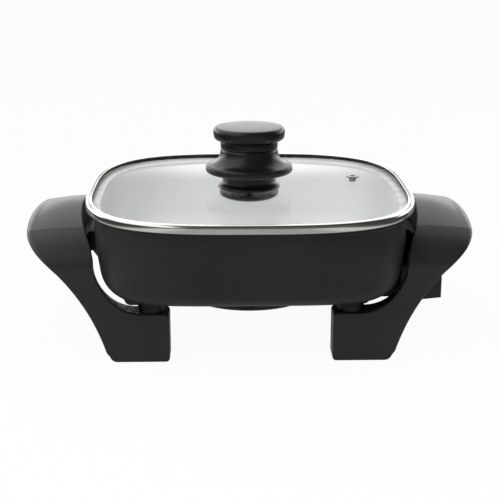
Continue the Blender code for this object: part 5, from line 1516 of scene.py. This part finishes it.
def element_path(sizes):
    """Middle line of the heating element: an open ring whose ends rise to the socket."""
    low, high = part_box("heating_element")
    pin_low, pin_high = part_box("terminal_pin_front")
    ring_z = low.z + sizes.tube / 2
    end_y = -(pin_low.y + pin_high.y) / 2
    end_z = (pin_low.z + pin_high.z) / 2
    opening = math.asin(ELEMENT_OPENING / sizes.element)
    ring = []
    for i in range(ELEMENT_STEPS + 1):
        turn = lerp(opening, 2 * math.pi - opening, i / ELEMENT_STEPS)
        ring.append(Vector((sizes.element * math.cos(turn), sizes.element * math.sin(turn), ring_z)))
    tangent = Vector((math.sin(opening), -math.cos(opening), 0))
    end = Vector((high.x, end_y, end_z))
    bend_end = end - Vector((sizes.tube / 2, 0, 0))
    start = ring[0]
    reach = (bend_end - start).length / 2
    lead = []
    for step in range(1, LEAD_STEPS):
        share = step / LEAD_STEPS
        lead.append(start * (1 - share) ** 3 + 3 * share * (1 - share) ** 2 * (start + tangent * reach)
                    + 3 * share ** 2 * (1 - share) * (bend_end - Vector((reach, 0, 0)))
                    + bend_end * share ** 3)
    lead += [bend_end, end]
    return list(reversed(lead)) + ring + [Vector((p.x, -p.y, p.z)) for p in lead]


class SKILLET_OT_heating(bpy.types.Operator):
    """Heating element, the socket guard and the sleeves over the feet"""
    bl_idname = "skillet.heating"
    bl_label = "Heating and feet"

    def execute(self, context):
        sizes = context.scene.skillet_control
        finishes = context.scene.skillet_finishes
        show(self.tube(sizes), sheath_finish(finishes), "base", "plated_steel", "heating_element")
        guard = refined("socket_guard", "folded_socket_guard", FINE_BEVEL)
        plated = plated_finish("zinc_plating", finishes.plated, rough=0.34)
        show(guard, plated, "base", "plated_steel", "socket_guard")
        self.sleeves(finishes)
        return {"FINISHED"}

    def tube(self, sizes):
        """Round tube along the element's middle line."""
        points = element_path(sizes)
        data = added(bpy.ops.curve.primitive_bezier_curve_add, "tubular_element").data
        data.splines.clear()
        line = data.splines.new("POLY")
        line.points.add(len(points) - 1)
        for spot, place in zip(line.points, points):
            spot.co = (*place, 1)
        data.bevel_depth = sizes.tube / 2
        data.bevel_resolution = 6
        data.use_fill_caps = True
        bpy.ops.object.convert(target="MESH")
        tube = bpy.context.object
        bpy.ops.object.mode_set(mode="EDIT")
        finish_edit(smooth_degrees=50)
        return tube

    def sleeves(self, finishes):
        """Dark sleeves between feet and pan, their tops shaped to the pan's rounded bottom."""
        pan = pan_sizes()
        radius = (SPACER_HIGH.x - SPACER_LOW.x) / 2
        centre = (SPACER_LOW + SPACER_HIGH) / 2
        low, high = SPACER_LOW.z, pan.bottom + pan.floor
        socket_low = pan.bottom - SLEEVE_SOCKET_DEPTH
        outline = [(SLEEVE_BORE, low), (radius - SLEEVE_EDGE, low)]
        outline += arc((radius - SLEEVE_EDGE, low + SLEEVE_EDGE), SLEEVE_EDGE, -60, 0, 3)
        outline += [(radius, high), (SLEEVE_SOCKET[0], high), (SLEEVE_SOCKET[1], socket_low),
                    (SLEEVE_BORE, socket_low)]
        sleeve = move(turned("front_left_sleeve", outline, steps=64), (centre.x, centre.y, 0))
        cut(sleeve, pan_form())
        smoothed(sleeve, smooth_degrees=35)
        metal = plated_finish("dark_sleeve_metal", finishes.sleeve, rough=0.45)
        for corner in CORNERS[1:]:
            signs = (-1 if "right" in corner else 1, -1 if "rear" in corner else 1, 1)
            twin = mirrored(sleeve, corner + "_sleeve", signs)
            show(twin, metal, "base", "spacer_steel", "leg_spacer_" + corner)
        show(sleeve, metal, "base", "spacer_steel", "leg_spacer_front_left")


class SKILLET_OT_fasteners(bpy.types.Operator):
    """Screws with a cross recess, and finishes for the small pieces kept as they are"""
    bl_idname = "skillet.fasteners"
    bl_label = "Fasteners and contacts"

    def execute(self, context):
        finishes = context.scene.skillet_finishes
        plated = plated_finish("screw_plating", finishes.plated, rough=0.30)
        for node in sorted(frame["nodes"]):
            if "_screw" in node:
                self.screw(node, plated)
        brass = plated_finish("drawn_brass", finishes.brass, rough=0.30)
        porcelain = porcelain_finish(finishes)
        steel = plated_finish("probe_steel", finishes.plated, rough=0.26)
        kept = {"terminal_pin_front": brass, "terminal_pin_rear": brass, "contact_sleeve_front": brass,
                "contact_sleeve_rear": brass, "element_seal_front": porcelain,
                "element_seal_rear": porcelain, "probe_rod": steel, "dial_shaft": steel}
        for node, material in kept.items():
            data = frame["nodes"][node].data
            data.materials.clear()
            data.materials.append(material)
        return {"FINISHED"}

    def screw(self, node, material):
        """Pan-head screw in a node's box: head at the end with the wider cross-section."""
        low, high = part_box(node)
        size = high - low
        along = max(range(3), key=lambda axis: size[axis])
        reach = size[along]
        radius = size[(along + 1) % 3] / 2
        centre = (low + high) / 2
        wide = [corner.co[along] for corner in frame["nodes"][node].data.vertices
                if self.off_axis(corner.co, centre, along) > radius * SCREW_WIDE_SHARE]
        head_up = sum(wide) / len(wide) > centre[along]
        head = max(wide) - min(wide) + radius * SCREW_BRIM_SHARE
        shank = radius * SHANK_SHARE
        rounding = head * SCREW_ROUNDING_SHARE
        outline = [(0, 0), (radius - rounding, 0)]
        outline += arc((radius - rounding, rounding), rounding, -90, 0, 5)[1:]
        outline += [(radius, head), (shank, head), (shank, reach - shank),
                    (shank * SCREW_TIP_SHARE, reach), (0, reach)]
        outline = [(r, min(z, reach)) for r, z in outline]
        screw = turned(node.replace("_screw", "_pan_head"), outline, steps=28, smooth_degrees=32)
        slot = radius * SLOT_WIDTH_SHARE
        arm = radius * SLOT_REACH_SHARE
        depth = head * SLOT_DEPTH_SHARE
        cut(screw, brick("cross_a", (-arm, -slot / 2, -OVERRUN), (arm, slot / 2, depth)))
        cut(screw, brick("cross_b", (-slot / 2, -arm, -OVERRUN), (slot / 2, arm, depth)))
        start = Vector(centre)
        start[along] = high[along] if head_up else low[along]
        smoothed(move(screw, start, SCREW_TURNS[head_up][along]), smooth_degrees=32)
        bodies = frame["record"]["behaviour"]["bodies"]
        body = next(name for name, members in bodies.items() if node in members)
        show(screw, material, body, "plated_steel", node)

    def off_axis(self, corner, centre, along):
        """How far a corner is from a screw's middle line."""
        away = corner - centre
        away[along] = 0
        return away.length


class SKILLET_OT_studio(bpy.types.Operator):
    """White floor and background, soft lamps and the camera"""
    bl_idname = "skillet.studio"
    bl_label = "Studio"

    def execute(self, context):
        self.camera(context)
        self.floor()
        self.sky(context)
        self.lamps()
        context.scene.view_settings.view_transform = "Standard"
        return {"FINISHED"}

    def camera(self, context):
        studio = context.scene.skillet_studio
        camera = added(bpy.ops.object.camera_add, "studio_camera", location=studio.eye)
        camera.rotation_euler = Vector(studio.look).to_track_quat("-Z", "Y").to_euler()
        camera.data.lens = studio.focal
        camera.data.sensor_width = 36
        camera.data.shift_x = studio.shift
        camera.data.clip_start = 0.01
        context.scene.camera = camera

    def floor(self):
        """Pale floor that shows white to the camera, keeps the shadow and glows as a painted reflection
        in gloss.
        """
        floor = added(bpy.ops.mesh.primitive_plane_add, "studio_floor", size=FLOOR_WIDTH)
        finish = Finish("studio_paper", (0.84, 0.84, 0.84), 0.9, Specular_IOR_Level=0.0)
        seen, mirrored = ray_kinds(finish)
        x = finish.axis("X")
        across = x.maths("ABSOLUTE", x)
        # Painted reflection: for gloss the floor glows, dim in its middle, brighter beside it and dark
        # far out to the sides
        level = FLOOR_GLOSS_GLOW_MIDDLE + (FLOOR_GLOSS_GLOW_SIDE - FLOOR_GLOSS_GLOW_MIDDLE) * across.between(*FLOOR_GLOSS_GLOW_STEP)
        level = level * (1 - across.between(*FLOOR_GLOSS_GLOW_EDGE))
        white = finish.add("ShaderNodeEmission", {}, {"Color": (1, 1, 1, 1), "Strength": 1.0})
        dark = finish.add("ShaderNodeEmission", {}, {"Color": (1, 1, 1, 1), "Strength": CEILING_LEVEL})
        paper = Field(finish, finish.shader.outputs[0])
        straight = finish.add("ShaderNodeMixShader", {}, {"Fac": seen * FLOOR_GLOW, 1: paper, 2: white})
        painted_gloss_glow = finish.add("ShaderNodeMixShader", {}, {"Fac": level, 1: dark, 2: white})
        both = finish.add("ShaderNodeMixShader", {}, {"Fac": mirrored, 1: straight, 2: painted_gloss_glow})
        finish.show_as(both)
        floor.data.materials.append(finish.material)

    def sky(self, context):
        """White backdrop, even soft light, and studio boxes and a dark ceiling that gloss mirrors."""
        world = bpy.data.worlds.new("studio_world")
        context.scene.world = world
        world.use_nodes = True
        sky = Sheet(world.node_tree)
        sky.nodes.clear()
        seen, mirrored = ray_kinds(sky)
        toward = sky.add("ShaderNodeTexCoord", {}, {}, "Generated")
        x, y, z = (sky.add("ShaderNodeSeparateXYZ", {}, {0: toward}, name) for name in "XYZ")
        strip = 1 - z.between(*STRIP_FADE)
        box = z.between(*BOX_FADE)
        back = GAP_LEVEL + (STRIP_LEVEL - GAP_LEVEL) * strip + (BOX_LEVEL - GAP_LEVEL) * box
        back = back * y.between(*BACK_FADE)
        left = LEFT_LEVEL * (0 - x).between(*LEFT_FADES[0]) * z.between(*LEFT_FADES[1])
        top = TOP_LEVEL * y.between(*TOP_FADES[0]) * z.between(*TOP_FADES[1])
        top = top * (1 - x.between(*TOP_FADES[2]))
        front = FRONT_LEVEL * (0 - y).between(*FRONT_FADE)
        level = back.maths("MAXIMUM", back, left)
        level = level.maths("MAXIMUM", level, top)
        level = CEILING_LEVEL + level.maths("MAXIMUM", level, front)
        strength = 1 - mirrored * (1 - level)
        white = sky.add("ShaderNodeBackground", {}, {"Color": (1, 1, 1, 1), "Strength": strength})
        soft = sky.add("ShaderNodeBackground", {}, {"Color": SOFT_COLOUR, "Strength": SOFT_LEVEL})
        both = sky.add("ShaderNodeMixShader", {}, {"Fac": seen + mirrored, 1: soft, 2: white})
        sky.add("ShaderNodeOutputWorld", {}, {"Surface": both}, None)

    def lamps(self):
        """A key box over the left front, a side box on the left and a weak one on the right."""
        for name, place, size, power, mirrored in LAMPS:
            lamp = added(bpy.ops.object.light_add, name, type="AREA", location=place)
            lamp.data.shape = "SQUARE"
            lamp.data.size = size
            lamp.data.energy = power
            lamp.visible_glossy = mirrored
            aim = Vector(LAMP_AIM) - Vector(place)
            lamp.rotation_euler = aim.to_track_quat("-Z", "Y").to_euler()


OPERATORS = (SKILLET_OT_pan, SKILLET_OT_handles, SKILLET_OT_lid, SKILLET_OT_knob, SKILLET_OT_control,
             SKILLET_OT_heating, SKILLET_OT_fasteners, SKILLET_OT_studio)


class SKILLET_PT_sidebar(bpy.types.Panel):
    """Buttons that build each group of the skillet"""
    bl_idname = "SKILLET_PT_sidebar"
    bl_label = "Electric Skillet"
    bl_space_type = "VIEW_3D"
    bl_region_type = "UI"
    bl_category = "Skillet"

    def draw(self, context):
        for operator in OPERATORS:
            self.layout.operator(operator.bl_idname)


GROUPS = {"skillet_pan": SkilletPanSizes, "skillet_handles": SkilletHandleSizes,
          "skillet_lid": SkilletLidSizes, "skillet_knob": SkilletKnobSizes,
          "skillet_control": SkilletControlSizes, "skillet_finishes": SkilletFinishes,
          "skillet_studio": SkilletStudio}


def register():
    for name, group in GROUPS.items():
        bpy.utils.register_class(group)
        setattr(bpy.types.Scene, name, bpy.props.PointerProperty(type=group))
    for operator in OPERATORS:
        bpy.utils.register_class(operator)
    bpy.utils.register_class(SKILLET_PT_sidebar)


def unregister():
    bpy.utils.unregister_class(SKILLET_PT_sidebar)
    for operator in reversed(OPERATORS):
        bpy.utils.unregister_class(operator)
    for name, group in GROUPS.items():
        delattr(bpy.types.Scene, name)
        bpy.utils.unregister_class(group)


def main():
    register()
    bpy.ops.skillet.pan()
    bpy.ops.skillet.handles()
    bpy.ops.skillet.lid()
    bpy.ops.skillet.knob()
    bpy.ops.skillet.control()
    bpy.ops.skillet.heating()
    bpy.ops.skillet.fasteners()
    bpy.ops.skillet.studio()


if __name__ == "__main__":
    main()
